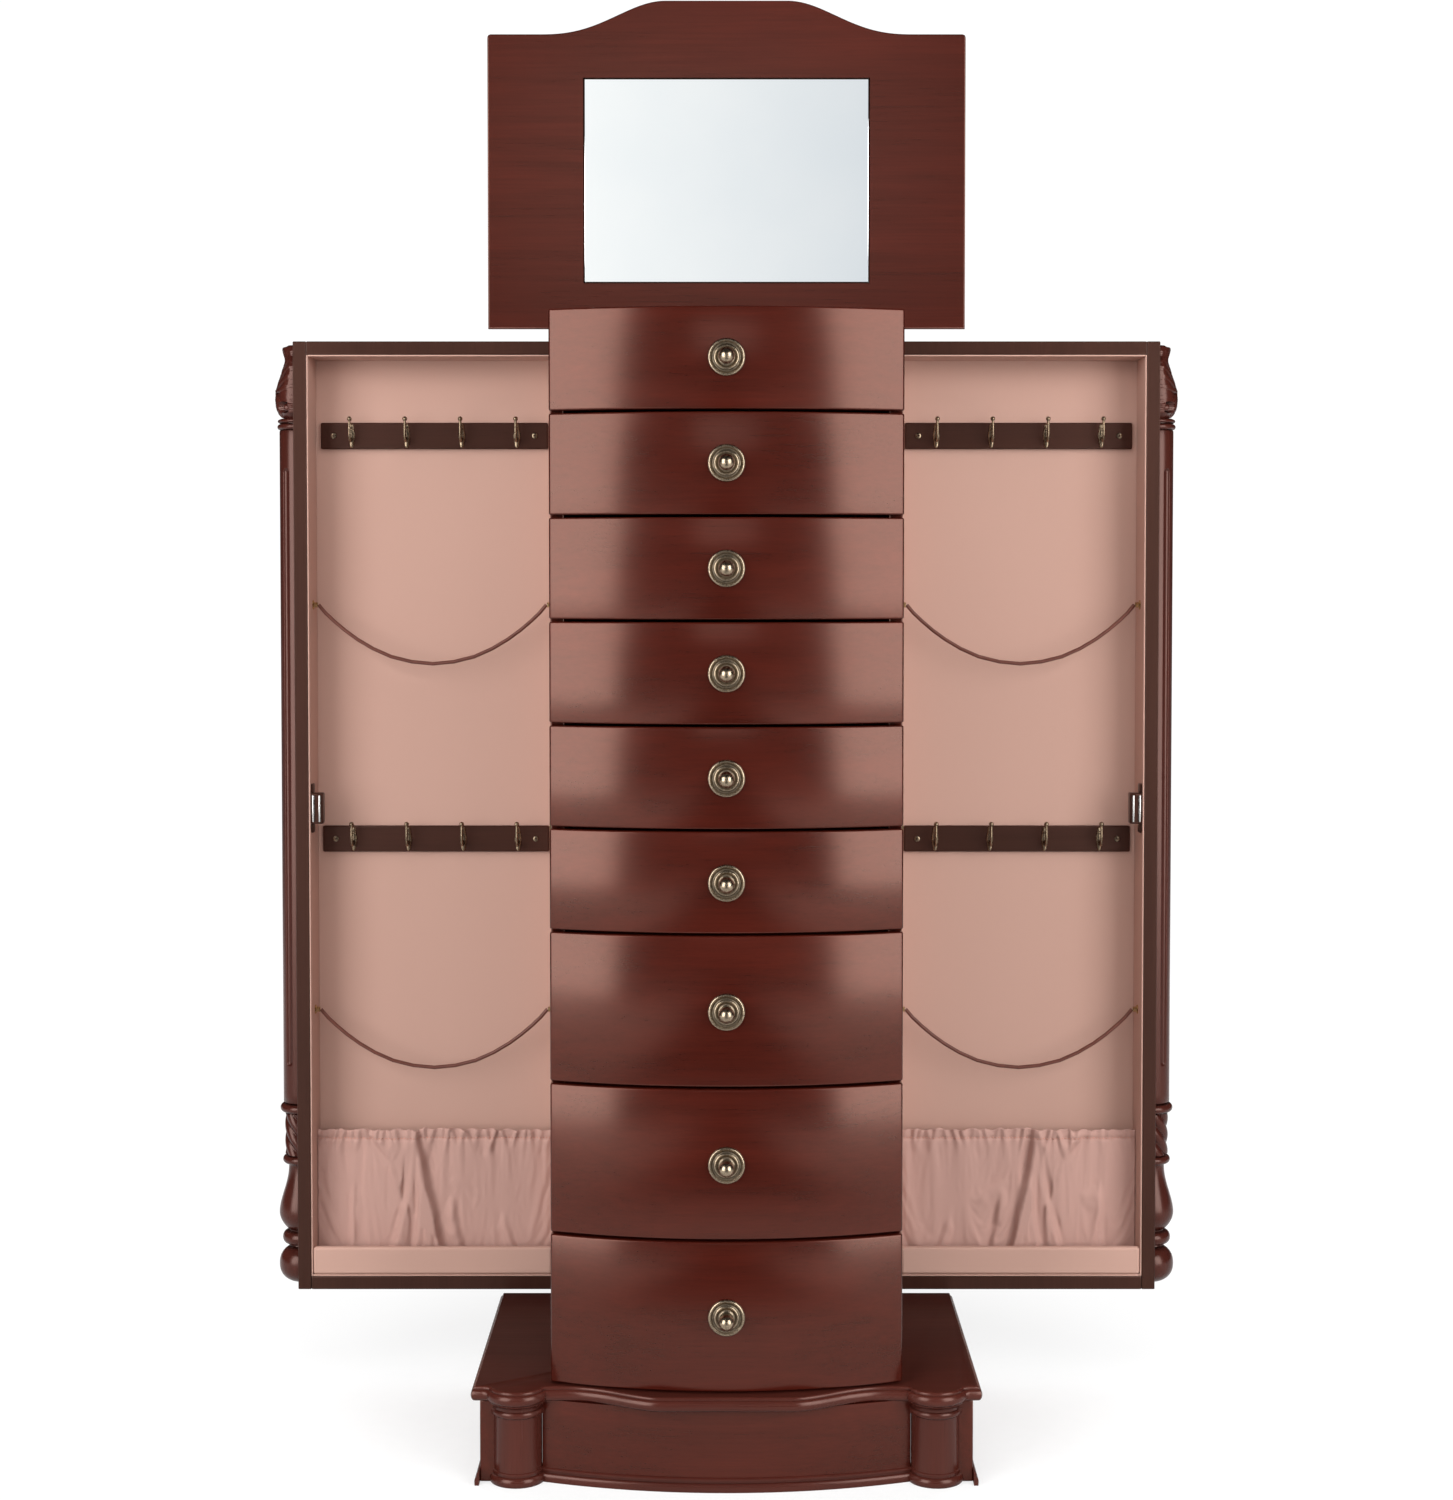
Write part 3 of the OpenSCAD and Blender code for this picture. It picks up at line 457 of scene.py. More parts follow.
def patina_group():
    """Aged metal: dark in the recesses, rubbed bright on what stands out."""
    group, source, sink = node_group(
        "patina", [("Vector", "Vector"), ("Bright", "Color"), ("Dark", "Color"), ("Reach", "Float"),
                   ("Tarnish", "Float")],
        [("Color", "Color"), ("Roughness", "Float"), ("Height", "Float")])
    w = Wires(group)
    shade = w.node("AmbientOcclusion", samples=6, only_local=True)
    w.link(source.outputs["Reach"], shade.inputs["Distance"])
    spots = w.noise(source.outputs["Vector"], 420.0, 5.0, 0.65)
    recess = w.remap(shade.outputs["AO"], 0.45, 0.98, 1.0, 0.0)
    mask = w.math("ADD", recess, w.math("MULTIPLY", w.remap(spots, 0.45, 0.75), source.outputs["Tarnish"]),
                  clamp=True)
    w.link(w.mix(mask, source.outputs["Bright"], source.outputs["Dark"]), sink.inputs["Color"])
    w.link(w.remap(mask, 0.0, 1.0, 0.24, 0.55), sink.inputs["Roughness"])
    w.link(spots, sink.inputs["Height"])
    return group


GROUP_MAKERS = {"wood_grain": wood_grain_group, "recess_glaze": glaze_group, "nap": nap_group,
                "weave": weave_group, "patina": patina_group}


# ------------------------------------------------------------------ materials


class Finish:
    """A new material with its shader, ready to be wired."""

    def __init__(self, name):
        self.material = bpy.data.materials.new(name)
        self.material.use_nodes = True
        self.w = Wires(self.material.node_tree)
        self.shader = self.material.node_tree.nodes["Principled BSDF"]

    def set(self, **values):
        for label, value in values.items():
            self.shader.inputs[label.replace("_", " ").title().replace("Ior", "IOR")].default_value = value

    def group(self, name, **values):
        tree = bpy.data.node_groups.get(name) or GROUP_MAKERS[name]()
        made = self.w.node("Group")
        made.node_tree = tree
        for label, value in values.items():
            self.w.feed(made.inputs[label.title()], value)
        return made

    def object_vector(self, turn=(0, 0, 0)):
        coordinates = self.w.node("TexCoord")
        mapping = self.w.node("Mapping")
        mapping.inputs["Rotation"].default_value = turn
        self.w.link(coordinates.outputs["Object"], mapping.inputs["Vector"])
        return mapping.outputs["Vector"]

    def bump(self, height, strength, distance):
        made = self.w.node("Bump")
        made.inputs["Strength"].default_value = strength
        made.inputs["Distance"].default_value = distance
        self.w.link(height, made.inputs["Height"])
        self.w.link(made.outputs["Normal"], self.shader.inputs["Normal"])


def rgba(values):
    """A colour with full alpha."""
    return (*values, 1.0)


GRAIN_TURNS = {"x": (0, 0, 0), "y": (0, 0, math.radians(90)), "z": (0, math.radians(90), 0)}


def wood(name, light, dark, grain, figure=0.85, pores=0.25, rough=0.19, coat=0.12, glaze=0.5,
         reach=0.006, shine=0.70):
    """Stained and lacquered wood with its grain along one axis."""
    found = bpy.data.materials.get(name)
    if found:
        return found
    finish = Finish(name)
    grained = finish.group("wood_grain", vector=finish.object_vector(GRAIN_TURNS[grain]),
                           light=rgba(light), dark=rgba(dark), figure=figure, pores=pores)
    # Painted shade: the colour darkens in corners and recesses found by ambient occlusion
    glazed = finish.group("recess_glaze", color=grained.outputs["Color"],
                          glaze=rgba([c * 0.25 for c in dark]), amount=glaze, reach=reach)
    finish.w.link(glazed.outputs["Color"], finish.shader.inputs["Base Color"])
    finish.w.link(finish.w.math("ADD", grained.outputs["Roughness"], rough),
                  finish.shader.inputs["Roughness"])
    finish.set(coat_weight=coat, coat_roughness=0.24, specular_ior_level=shine)
    finish.shader.inputs["Specular Tint"].default_value = (1.0, 0.56, 0.44, 1.0)
    finish.bump(grained.outputs["Height"], 0.10, 0.0002)
    return finish.material


def cherry(grain):
    """Cherry-stained veneer."""
    looks = bpy.context.scene.armoire_finishes
    return wood("cherry_" + grain, looks.cherry, looks.cherry_dark, grain)


def moulding(grain):
    """Darker stain on turnings and moulded edges, with painted shade in the recesses."""
    looks = bpy.context.scene.armoire_finishes
    return wood("moulding_" + grain, looks.moulding, [c * 0.5 for c in looks.moulding], grain,
                figure=0.6, pores=0.3, rough=0.25, coat=0.3, glaze=0.9, reach=0.005, shine=0.40)


def shaded_plinth_top():
    """The plinth's top, rubbed to a lower shine, with a darker colour as painted shade on its upward
    faces.
    """
    # Painted shade: the upward faces are 0.7 times as dark as the mouldings
    dark = [c * 0.7 for c in bpy.context.scene.armoire_finishes.moulding]
    return wood("shaded_plinth_top", dark, [c * 0.5 for c in dark], "x", figure=0.7, pores=0.4, rough=0.45,
                coat=0.0, glaze=0.6, reach=0.005, shine=0.10)


def espresso(grain):
    """Espresso-brown lacquer."""
    looks = bpy.context.scene.armoire_finishes
    return wood("espresso_" + grain, looks.espresso, [c * 0.5 for c in looks.espresso], grain,
                figure=0.7, pores=0.3, rough=0.34, coat=0.10, glaze=0.6, shine=0.35)


def velvet():
    """Flocked lining."""
    found = bpy.data.materials.get("velvet")
    if found:
        return found
    finish = Finish("velvet")
    nap = finish.group("nap", vector=finish.object_vector(), fleck=0.30, patches=0.17,
                       color=rgba(bpy.context.scene.armoire_finishes.velvet))
    finish.w.link(nap.outputs["Color"], finish.shader.inputs["Base Color"])
    finish.set(roughness=0.95, sheen_weight=0.35, sheen_roughness=0.45, specular_ior_level=0.15)
    finish.shader.inputs["Sheen Tint"].default_value = (1.0, 0.86, 0.80, 1.0)
    finish.bump(nap.outputs["Height"], 0.35, 0.0002)
    return finish.material


def satin():
    """Woven cloth with a soft shine."""
    found = bpy.data.materials.get("satin")
    if found:
        return found
    finish = Finish("satin")
    uv = finish.w.node("UVMap", uv_map="cloth")
    weave = finish.group("weave", vector=uv.outputs["UV"], threads=2200.0,
                         color=rgba(bpy.context.scene.armoire_finishes.satin))
    finish.w.link(weave.outputs["Color"], finish.shader.inputs["Base Color"])
    finish.set(roughness=0.50, sheen_weight=0.25, sheen_roughness=0.35, specular_ior_level=0.45)
    finish.bump(weave.outputs["Height"], 0.10, 0.0001)
    return finish.material


def thread_finish():
    """Pale sewing thread."""
    found = bpy.data.materials.get("thread")
    if found:
        return found
    finish = Finish("thread")
    pale = [min(1.0, c * 2.0) for c in bpy.context.scene.armoire_finishes.satin]
    nap = finish.group("nap", vector=finish.object_vector(), fleck=0.25, patches=0.1, color=rgba(pale))
    finish.w.link(nap.outputs["Color"], finish.shader.inputs["Base Color"])
    finish.set(roughness=0.45, sheen_weight=0.2)
    return finish.material


def leather():
    """Smooth round leather cord."""
    found = bpy.data.materials.get("leather")
    if found:
        return found
    finish = Finish("leather")
    nap = finish.group("nap", vector=finish.object_vector(), fleck=0.35, patches=0.25,
                       color=rgba(bpy.context.scene.armoire_finishes.leather))
    finish.w.link(nap.outputs["Color"], finish.shader.inputs["Base Color"])
    finish.set(roughness=0.42, specular_ior_level=0.5)
    finish.bump(nap.outputs["Height"], 0.25, 0.0002)
    return finish.material


def metal(name, bright, dark, reach=0.003, tarnish=0.5):
    """Cast or sheet metal with a patina."""
    found = bpy.data.materials.get(name)
    if found:
        return found
    finish = Finish(name)
    aged = finish.group("patina", vector=finish.object_vector(), bright=rgba(bright),
                        dark=rgba(dark), reach=reach, tarnish=tarnish)
    finish.w.link(aged.outputs["Color"], finish.shader.inputs["Base Color"])
    finish.w.link(aged.outputs["Roughness"], finish.shader.inputs["Roughness"])
    finish.set(metallic=1.0)
    finish.bump(aged.outputs["Height"], 0.12, 0.0001)
    return finish.material


def antique_brass():
    """Knobs."""
    bright = bpy.context.scene.armoire_finishes.brass
    return metal("antique_brass", bright, [c * 0.13 for c in bright], reach=0.006, tarnish=0.45)


def antique_bronze():
    """Hooks."""
    bright = bpy.context.scene.armoire_finishes.bronze
    return metal("antique_bronze", bright, [c * 0.18 for c in bright])


def satin_brass():
    """Hinges, pins and the cords' ends."""
    return metal("satin_brass", (0.62, 0.47, 0.24), (0.30, 0.20, 0.09), tarnish=0.25)


def plated_steel():
    """Magnet poles."""
    return metal("plated_steel", (0.62, 0.61, 0.59), (0.22, 0.21, 0.20), tarnish=0.2)


def mirror_glass():
    """Silvered glass."""
    found = bpy.data.materials.get("mirror_glass")
    if found:
        return found
    finish = Finish("mirror_glass")
    haze = finish.w.noise(finish.object_vector(), 9.0, 3.0, 0.5)
    finish.w.link(finish.w.remap(haze, 0.3, 0.7, 0.012, 0.03), finish.shader.inputs["Roughness"])
    tint = finish.w.mix(finish.w.remap(haze, 0.3, 0.7), (0.90, 0.92, 0.93, 1), (0.94, 0.95, 0.95, 1))
    finish.w.link(tint, finish.shader.inputs["Base Color"])
    finish.set(metallic=1.0)
    return finish.material


# ------------------------------------------------------------------ operators


OPERATORS = []


def operator(cls):
    """Lists an operator, in the order in which the armoire is built."""
    OPERATORS.append(cls)
    return cls


@operator
class ARMOIRE_OT_stage(bpy.types.Operator):
    """Floor, studio light and camera"""

    bl_idname = "armoire.stage"
    bl_label = "Stage"

    def execute(self, context):
        scene = context.scene
        self.floor()
        self.world(scene)
        self.lamps()
        self.camera(scene)
        return {"FINISHED"}

    def floor(self):
        """A wide pale disc that brightens to the backdrop's white away from the armoire."""
        bm = bmesh.new()
        bmesh.ops.create_circle(bm, cap_ends=True, segments=96, radius=30.0)
        mesh = bpy.data.meshes.new("floor")
        bm.to_mesh(mesh)
        bm.free()
        floor = bpy.data.objects.new("floor", mesh)
        bpy.context.collection.objects.link(floor)
        finish = Finish("floor")
        finish.set(roughness=0.9, specular_ior_level=0.1)
        w = finish.w
        path = w.node("LightPath")
        speck = w.noise(finish.object_vector(), 60.0, 3.0, 0.5)
        seen = w.mix(w.remap(speck, 0.3, 0.7), (0.90, 0.90, 0.90, 1), (0.93, 0.93, 0.93, 1))
        split = w.node("SeparateXYZ")
        w.link(finish.object_vector(), split.inputs[0])
        # Painted reflection: glossy rays see the floor bright at the sides and near the armoire, and dark
        # straight in front of it, so the drawers' bowed ends pick up painted highlights
        aside = w.remap(w.math("ABSOLUTE", split.outputs["X"]), 0.25, 0.60, smooth=True)
        close = w.remap(split.outputs["Y"], -1.0, -0.45, smooth=True)
        shine = w.mix(w.math("MAXIMUM", aside, close), (0.02, 0.02, 0.02, 1), (0.60, 0.60, 0.60, 1))
        lit = w.mix(path.outputs["Is Glossy Ray"], (0.30, 0.30, 0.30, 1), shine)
        w.link(w.mix(path.outputs["Is Camera Ray"], lit, seen), finish.shader.inputs["Base Color"])
        away = w.node("VectorMath", operation="LENGTH")
        w.link(finish.object_vector(), away.inputs[0])
        bright = w.node("Emission")
        bright.inputs["Color"].default_value = (1, 1, 1, 1)
        bright.inputs["Strength"].default_value = 1.05
        blend = w.node("MixShader")
        far = w.remap(away.outputs["Value"], 0.25, 0.9, 0.6, 1.0, smooth=True)
        w.link(w.math("MULTIPLY", far, path.outputs["Is Camera Ray"]), blend.inputs[0])
        w.link(finish.shader.outputs[0], blend.inputs[1])
        w.link(bright.outputs[0], blend.inputs[2])
        w.link(blend.outputs[0], finish.material.node_tree.nodes["Material Output"].inputs[0])
        mesh.materials.append(finish.material)

    def world(self, scene):
        """White to the eye, and softer as a light."""
        world = bpy.data.worlds.new("studio")
        world.use_nodes = True
        scene.world = world
        w = Wires(world.node_tree)
        background = world.node_tree.nodes["Background"]
        background.inputs["Color"].default_value = (1.0, 1.0, 1.0, 1.0)
        path = w.node("LightPath")
        light = w.remap(path.outputs["Is Glossy Ray"], 0.0, 1.0, 0.28, 0.02)
        w.link(w.math("MAXIMUM", light, w.math("MULTIPLY", path.outputs["Is Camera Ray"], 1.05)),
               background.inputs["Strength"])

    def lamps(self):
        """Soft boxes in front and behind, a top light, a fill and a card that the mirror sees."""
        aim = Vector((0, 0, 0.62))
        for name, place, size, power in (
                ("soft_box_left", (-1.80, -1.90, 1.20), (1.6, 2.3), 58.0),
                ("soft_box_right", (1.80, -1.90, 1.20), (1.6, 2.3), 58.0),
                ("top_light", (0.0, -1.2, 3.0), (2.2, 1.6), 24.0),
                ("front_fill", (0.0, -3.7, 1.5), (2.6, 2.0), 28.0),
                ("back_left", (-2.0, 2.4, 1.5), (1.4, 1.8), 46.0),
                ("back_right", (2.0, 2.4, 1.5), (1.4, 1.8), 46.0),
                ("mirror_card", (0.0, -6.0, 2.25), (1.6, 1.2), 6.2)):
            light = bpy.data.lights.new(name, "AREA")
            light.shape = "RECTANGLE"
            light.size, light.size_y = size
            light.energy = power
            lamp = bpy.data.objects.new(name, light)
            bpy.context.collection.objects.link(lamp)
            lamp.location = place
            lamp.rotation_euler = (aim - lamp.location).to_track_quat("-Z", "Y").to_euler()
            lamp.visible_glossy = name not in ("front_fill", "top_light", "back_left", "back_right")
            if name == "mirror_card":
                self.shade_card(light)

    def shade_card(self, light):
        """Dims the card from left to right, so that the mirror has a soft gradient."""
        light.use_nodes = True
        w = Wires(light.node_tree)
        emission = light.node_tree.nodes["Emission"]
        split = w.node("SeparateXYZ")
        w.link(w.node("NewGeometry").outputs["Position"], split.inputs[0])
        share = w.remap(split.outputs["X"], -0.55, 0.60)
        w.link(w.mix(share, (0.97, 0.985, 0.98, 1), (0.70, 0.735, 0.765, 1)), emission.inputs["Color"])

    def camera(self, scene):
        """Seen from straight ahead at about drawer height, looking slightly down."""
        data = bpy.data.cameras.new("camera")
        camera = bpy.data.objects.new("camera", data)
        bpy.context.collection.objects.link(camera)
        data.sensor_width = 36.0
        data.lens = 57.7
        data.shift_y = -0.06
        camera.location = (0.0, -2.206, 0.787)
        camera.rotation_euler = (math.radians(90 - 1.98), 0, 0)
        scene.camera = camera
        scene.view_settings.view_transform = "Standard"


CORD_ROUTE = [
    (-0.112, 0), (-0.10528, -0.008), (-0.09688, -0.016), (-0.08624, -0.025),
    (-0.07392, -0.034), (-0.0588, -0.043), (-0.04088, -0.051), (-0.02072, -0.056),
    (0, -0.058), (0.02072, -0.056), (0.04088, -0.051), (0.0588, -0.043),
    (0.07392, -0.034), (0.08624, -0.025), (0.09688, -0.016), (0.10528, -0.008),
    (0.112, 0)]


@operator
class ARMOIRE_OT_cords(bpy.types.Operator):
    """Leather necklace cords across the doors' recesses"""

    bl_idname = "armoire.cords"
    bl_label = "Necklace cords"

    def execute(self, context):
        radius = context.scene.armoire_sizes.cord_radius
        for side in SIDES:
            for place in ("upper", "lower"):
                node = f"door_{side}_{place}_cord"
                low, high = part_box(node)
                x, y = (low.x + high.x) / 2, (low.y + high.y) / 2
                drop = min(z for _, z in CORD_ROUTE)
                eye_z = low.z + radius - drop
                points = [Vector((x + across, y, eye_z + z)) for across, z in CORD_ROUTE]
                curve = bpy.data.curves.new(f"{side}_{place}_cord", "CURVE")
                curve.dimensions = "3D"
                curve.bevel_depth = radius
                curve.bevel_resolution = 4
                curve.use_fill_caps = True
                spline = curve.splines.new("POLY")
                spline.points.add(len(points) - 1)
                for slot, point in zip(spline.points, points):
                    slot.co = (*point, 1.0)
                spline.use_smooth = True
                curve.materials.append(leather())
                cord = bpy.data.objects.new(curve.name, curve)
                bpy.context.collection.objects.link(cord)
                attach(cord, "door_" + side)
                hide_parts(node)
        return {"FINISHED"}


def bowed_front(low, high, bow, back, ease):
    """A plank with a bowed face and a flat back."""
    bm = bmesh.new()
    half = (high.x - low.x) / 2
    radius = (half * half + bow * bow) / (2 * bow)
    centre = Vector((0, low.y + radius, 0))
    sweep = 2 * math.asin(half / radius)
    ends = [bm.verts.new((-half, low.y + bow, z)) for z in (low.z, high.z)]
    edge = bm.edges.new(ends)
    bmesh.ops.spin(bm, geom=ends + [edge], cent=centre, axis=(0, 0, 1), angle=sweep, steps=56,
                   use_duplicate=False)
    grown = bmesh.ops.extrude_face_region(bm, geom=bm.faces[:])
    for item in grown["geom"]:
        if isinstance(item, bmesh.types.BMVert):
            item.co.y = back
    bmesh.ops.recalc_face_normals(bm, faces=bm.faces[:])
    sharp = [edge for edge in bm.edges
             if len(edge.link_faces) == 2 and edge.calc_face_angle() > math.radians(30)]
    bmesh.ops.bevel(bm, geom=sharp, offset=ease, affect="EDGES", segments=3, profile=0.5,
                    material=-1)
    return bm


@operator
class ARMOIRE_OT_fronts(bpy.types.Operator):
    """Bowed fronts of the drawers and of the top tray"""

    bl_idname = "armoire.fronts"
    bl_label = "Bowed fronts"

    def execute(self, context):
        ease = context.scene.armoire_sizes.front_ease
        edge_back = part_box("carcass_sides")[0].y
        fronts = [("top_front", "cabinet", edge_back)]
        for number in DRAWERS:
            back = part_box(f"drawer_{number}_box")[0].y
            fronts.append((f"drawer_{number}_front", f"drawer_{number}", back))
        for node, body, back in fronts:
            low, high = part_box(node)
            ends = [v.co.y for v in NODES[node].data.vertices if v.co.x < low.x + 1e-4]
            bm = bowed_front(low, high, min(ends) - low.y, back, ease)
            make_piece(node + "_board", bm, body, [cherry("x")], [node], flat_area=0)
        return {"FINISHED"}


KNOB_PROFILE = [
    (0.0, 0.0), (15.2, 0.0), (15.9, 0.5), (16.0, 1.4), (15.7, 2.4), (14.9, 3.1), (14.0, 3.2),
    (13.2, 2.7), (12.7, 1.9), (11.9, 1.6), (11.2, 1.9), (10.8, 2.7), (10.1, 3.3), (9.3, 3.4),
    (8.6, 3.0), (8.1, 2.2), (7.3, 1.9), (6.2, 2.2), (5.2, 3.2), (4.4, 4.8), (4.0, 6.6), (3.9, 8.2),
    (4.3, 9.5)]


def knob_profile():
    """Rose with a rolled rim and an inner ring, neck and ball, as (radius, reach) in metres."""
    ball_radius, ball_reach = 7.0, 15.0
    ball = [(ball_radius * math.sin(math.radians(a)), ball_reach - ball_radius * math.cos(math.radians(a)))
            for a in range(44, 181, 8)]
    return [(r / 1000, d / 1000) for r, d in KNOB_PROFILE + ball + [(0.0, 22.0)]]


@operator
class ARMOIRE_OT_knobs(bpy.types.Operator):
    """Turned knobs with dished roses"""

    bl_idname = "armoire.knobs"
    bl_label = "Knobs"

    def execute(self, context):
        nodes = [("top_front_knob", "cabinet")]
        nodes += [(f"drawer_{number}_knob", f"drawer_{number}") for number in DRAWERS]
        for node, body in nodes:
            low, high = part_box(node)
            place = (Matrix.Translation((0, low.y + 0.022, (low.z + high.z) / 2))
                     @ Matrix.Rotation(math.radians(90), 4, "X"))
            bm = bmesh.new()
            add_turning(bm, knob_profile(), 56, place=place)
            shank = [(0.0, 0.0), (0.002, 0.0), (0.002, high.y - low.y - 0.0242),
                     (0.004, high.y - low.y - 0.0242), (0.004, high.y - low.y - 0.0222),
                     (0.0032, high.y - low.y - 0.022), (0.0, high.y - low.y - 0.022)]
            back = place @ Matrix.Rotation(math.radians(180), 4, "X")
            add_turning(bm, shank, 20, place=back)
            make_piece(node + "_turned", bm, body, [antique_brass()], [node], sharp=50,
                       flat_area=0)
        return {"FINISHED"}


def bow_share(x, end, run, lean=1.3):
    """Share of a serpentine edge's bow reached at x."""
    if abs(x) <= end - run:
        return 1.0
    if abs(x) >= end:
        return 0.0
    return (1 - math.cos(math.pi * ((end - abs(x)) / run) ** lean)) / 2


def base_outline():
    """Outline of the base's top board, clockwise from the middle of its front as seen from above."""
    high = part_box("base_top_board")[1]
    pilaster = solids("base_pilasters")[-1]
    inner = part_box("drawer_8_front")[1].x
    pilaster_x = pilaster[0].x + PILASTER_REACH
    face_y = pilaster[0].y + PILASTER_REACH
    ear_y = face_y - 0.011
    bulge = 0.0285
    half = [(x / 1000, ear_y - 0.029 * bow_share(x / 1000, inner - 0.002, 0.096))
            for x in range(0, 147, 3)]
    half += [(pilaster_x + bulge * math.cos(math.radians(a)), face_y + bulge * math.sin(math.radians(a)))
             for a in range(205, 336, 5)]
    half += [(high.x - 0.010, ear_y), (high.x - 0.004, ear_y), (high.x - 0.001, ear_y + 0.001),
             (high.x, ear_y + 0.004), (high.x, high.y)]
    return half + [(-x, y) for x, y in reversed(half[1:])]


def front_panel_bow():
    """Corners of the base's front panel, and how far it bows forward."""
    low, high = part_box("base_front_panel")
    ends = [v.co.y for v in NODES["base_front_panel"].data.vertices if v.co.x < low.x + 1e-4]
    return low, high, min(ends) - low.y


def strip_along_bow(bm, profile, half_x, end_y, bow, steps=48):
    """Sweeps a closed profile of (reach, height) points along the base's bow."""
    radius = (half_x * half_x + bow * bow) / (2 * bow)
    centre = Vector((0, end_y - bow + radius, 0))
    angle = math.asin(half_x / radius)
    others = set(bm.verts)
    verts = [bm.verts.new((0, centre.y - radius - reach, height)) for reach, height in profile]
    edges = [bm.edges.new(pair) for pair in zip(verts, verts[1:] + verts[:1])]
    bmesh.ops.rotate(bm, cent=centre, matrix=Matrix.Rotation(-angle, 3, "Z"), verts=verts)
    bmesh.ops.spin(bm, geom=verts + edges, cent=centre, axis=(0, 0, 1), angle=2 * angle,
                   steps=steps, use_duplicate=False)
    made = [vert for vert in bm.verts if vert not in others]
    rim = {edge for vert in made for edge in vert.link_edges if edge.is_boundary}
    bmesh.ops.holes_fill(bm, edges=list(rim), sides=0)
    faces = list({face for vert in made for face in vert.link_faces})
    bmesh.ops.recalc_face_normals(bm, faces=faces)


FOOT_PROFILE = [(0.0, 0.0), (4.0, 0.0), (4.3, 2.0), (4.3, 4.5), (3.8, 6.3), (2.6, 7.4), (1.9, 7.6),
                (1.9, 8.6), (2.3, 9.4), (2.2, 10.6), (1.4, 11.6), (0.3, 12.0), (0.0, 12.0)]
EDGE_LAYERS = [(3.6, 0.0), (1.9, 0.5), (1.3, 1.1), (0.6, 2.0), (0.15, 3.4), (0.0, 5.0), (0.2, 6.6),
               (0.8, 8.1), (1.7, 9.2), (2.6, 9.7), (2.9, 9.8), (2.9, 10.9), (3.3, 11.9), (4.2, 12.5)]


def metres(pairs, depth=0.0):
    """Pairs given in millimetres, as metres, with a height added to the second."""
    return [(a / 1000, b / 1000 + depth) for a, b in pairs]


@operator
class ARMOIRE_OT_base(bpy.types.Operator):
    """Plinth: moulded top board, bowed panel, pilasters and foot moulding"""

    bl_idname = "armoire.base"
    bl_label = "Base"

    def execute(self, context):
        ease = context.scene.armoire_sizes.board_ease
        self.top_board()
        self.front_panel()
        self.pilasters()
        self.foot_moulding()
        bm = boards_like("base_frame", ease)
        make_piece("plinth_frame", bm, "cabinet", [cherry("y")], ["base_frame"])
        return {"FINISHED"}

    def top_board(self):
        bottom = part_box("base_top_board")[0].z
        bm = bmesh.new()
        add_slab(bm, base_outline(), metres(EDGE_LAYERS, bottom))
        bm.normal_update()
        # Upward faces take the plinth top's darker colour, which is painted shade
        for face in bm.faces:
            if face.normal.z > 0.99:
                face.material_index = 1
        make_piece("plinth_board", bm, "cabinet", [moulding("x"), shaded_plinth_top()],
                   ["base_top_board"], sharp=40)

    def front_panel(self):
        low, high, bow = front_panel_bow()
        profile = [(0, low.z), (0, high.z), (-0.013, high.z), (-0.013, low.z)]
        bm = bmesh.new()
        strip_along_bow(bm, profile, high.x, low.y + bow, bow)
        make_piece("plinth_front", bm, "cabinet", [cherry("x")], ["base_front_panel"])

    def pilasters(self):
        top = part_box("base_pilasters")[1].z * 1000
        profile = [(0, 0), (24.0, 0), (24.7, 1.2), (25.0, 3.2), (24.7, 5.4), (23.9, 7.0), (22.9, 7.9),
                   (22.2, 8.2), (22.2, 9.2), (22.5, 10.0), (22.3, 11.2), (21.5, 12.0), (21.4, 13.0),
                   (21.4, top - 13.5), (21.6, top - 12.5), (22.6, top - 11.8), (23.5, top - 10.6),
                   (23.8, top - 9.0), (23.5, top - 7.4), (22.6, top - 6.4), (21.8, top - 6.0),
                   (21.8, top - 4.8), (22.6, top - 3.0), (24.2, top - 1.4), (26.0, top - 0.6),
                   (26.0, top), (0, top)]
        low = solids("base_pilasters")[-1][0]
        centre_x, centre_y = low.x + PILASTER_REACH, low.y + PILASTER_REACH
        for name, x in (("left", -centre_x), ("right", centre_x)):
            bm = bmesh.new()
            add_turning(bm, metres(profile), 64, place=Matrix.Translation((x, centre_y, 0)))
            nodes = ["base_pilasters"] if name == "left" else []
            make_piece("pilaster_" + name, bm, "cabinet", [moulding("z")], nodes)

    def foot_moulding(self):
        panel_low, panel_high, bow = front_panel_bow()
        bm = bmesh.new()
        profile = metres(FOOT_PROFILE)
        strip_along_bow(bm, profile, panel_high.x, panel_low.y + bow, bow)
        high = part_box("base_foot_moulding")[1]
        side_x = high.x - 0.004
        frame_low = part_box("base_frame")[0]
        for sign in (-1, 1):
            verts = [bm.verts.new((sign * (side_x + reach * 0.93), frame_low.y, height))
                     for reach, height in profile]
            edges = [bm.edges.new(pair) for pair in zip(verts, verts[1:] + verts[:1])]
            face = bmesh.ops.contextual_create(bm, geom=edges)["faces"]
            grown = bmesh.ops.extrude_face_region(bm, geom=face)["geom"]
            bmesh.ops.translate(bm, vec=(0, high.y - frame_low.y, 0),
                                verts=[v for v in grown if isinstance(v, bmesh.types.BMVert)])
        bmesh.ops.recalc_face_normals(bm, faces=bm.faces[:])
        make_piece("foot_moulding", bm, "cabinet", [moulding("x")], ["base_foot_moulding"])


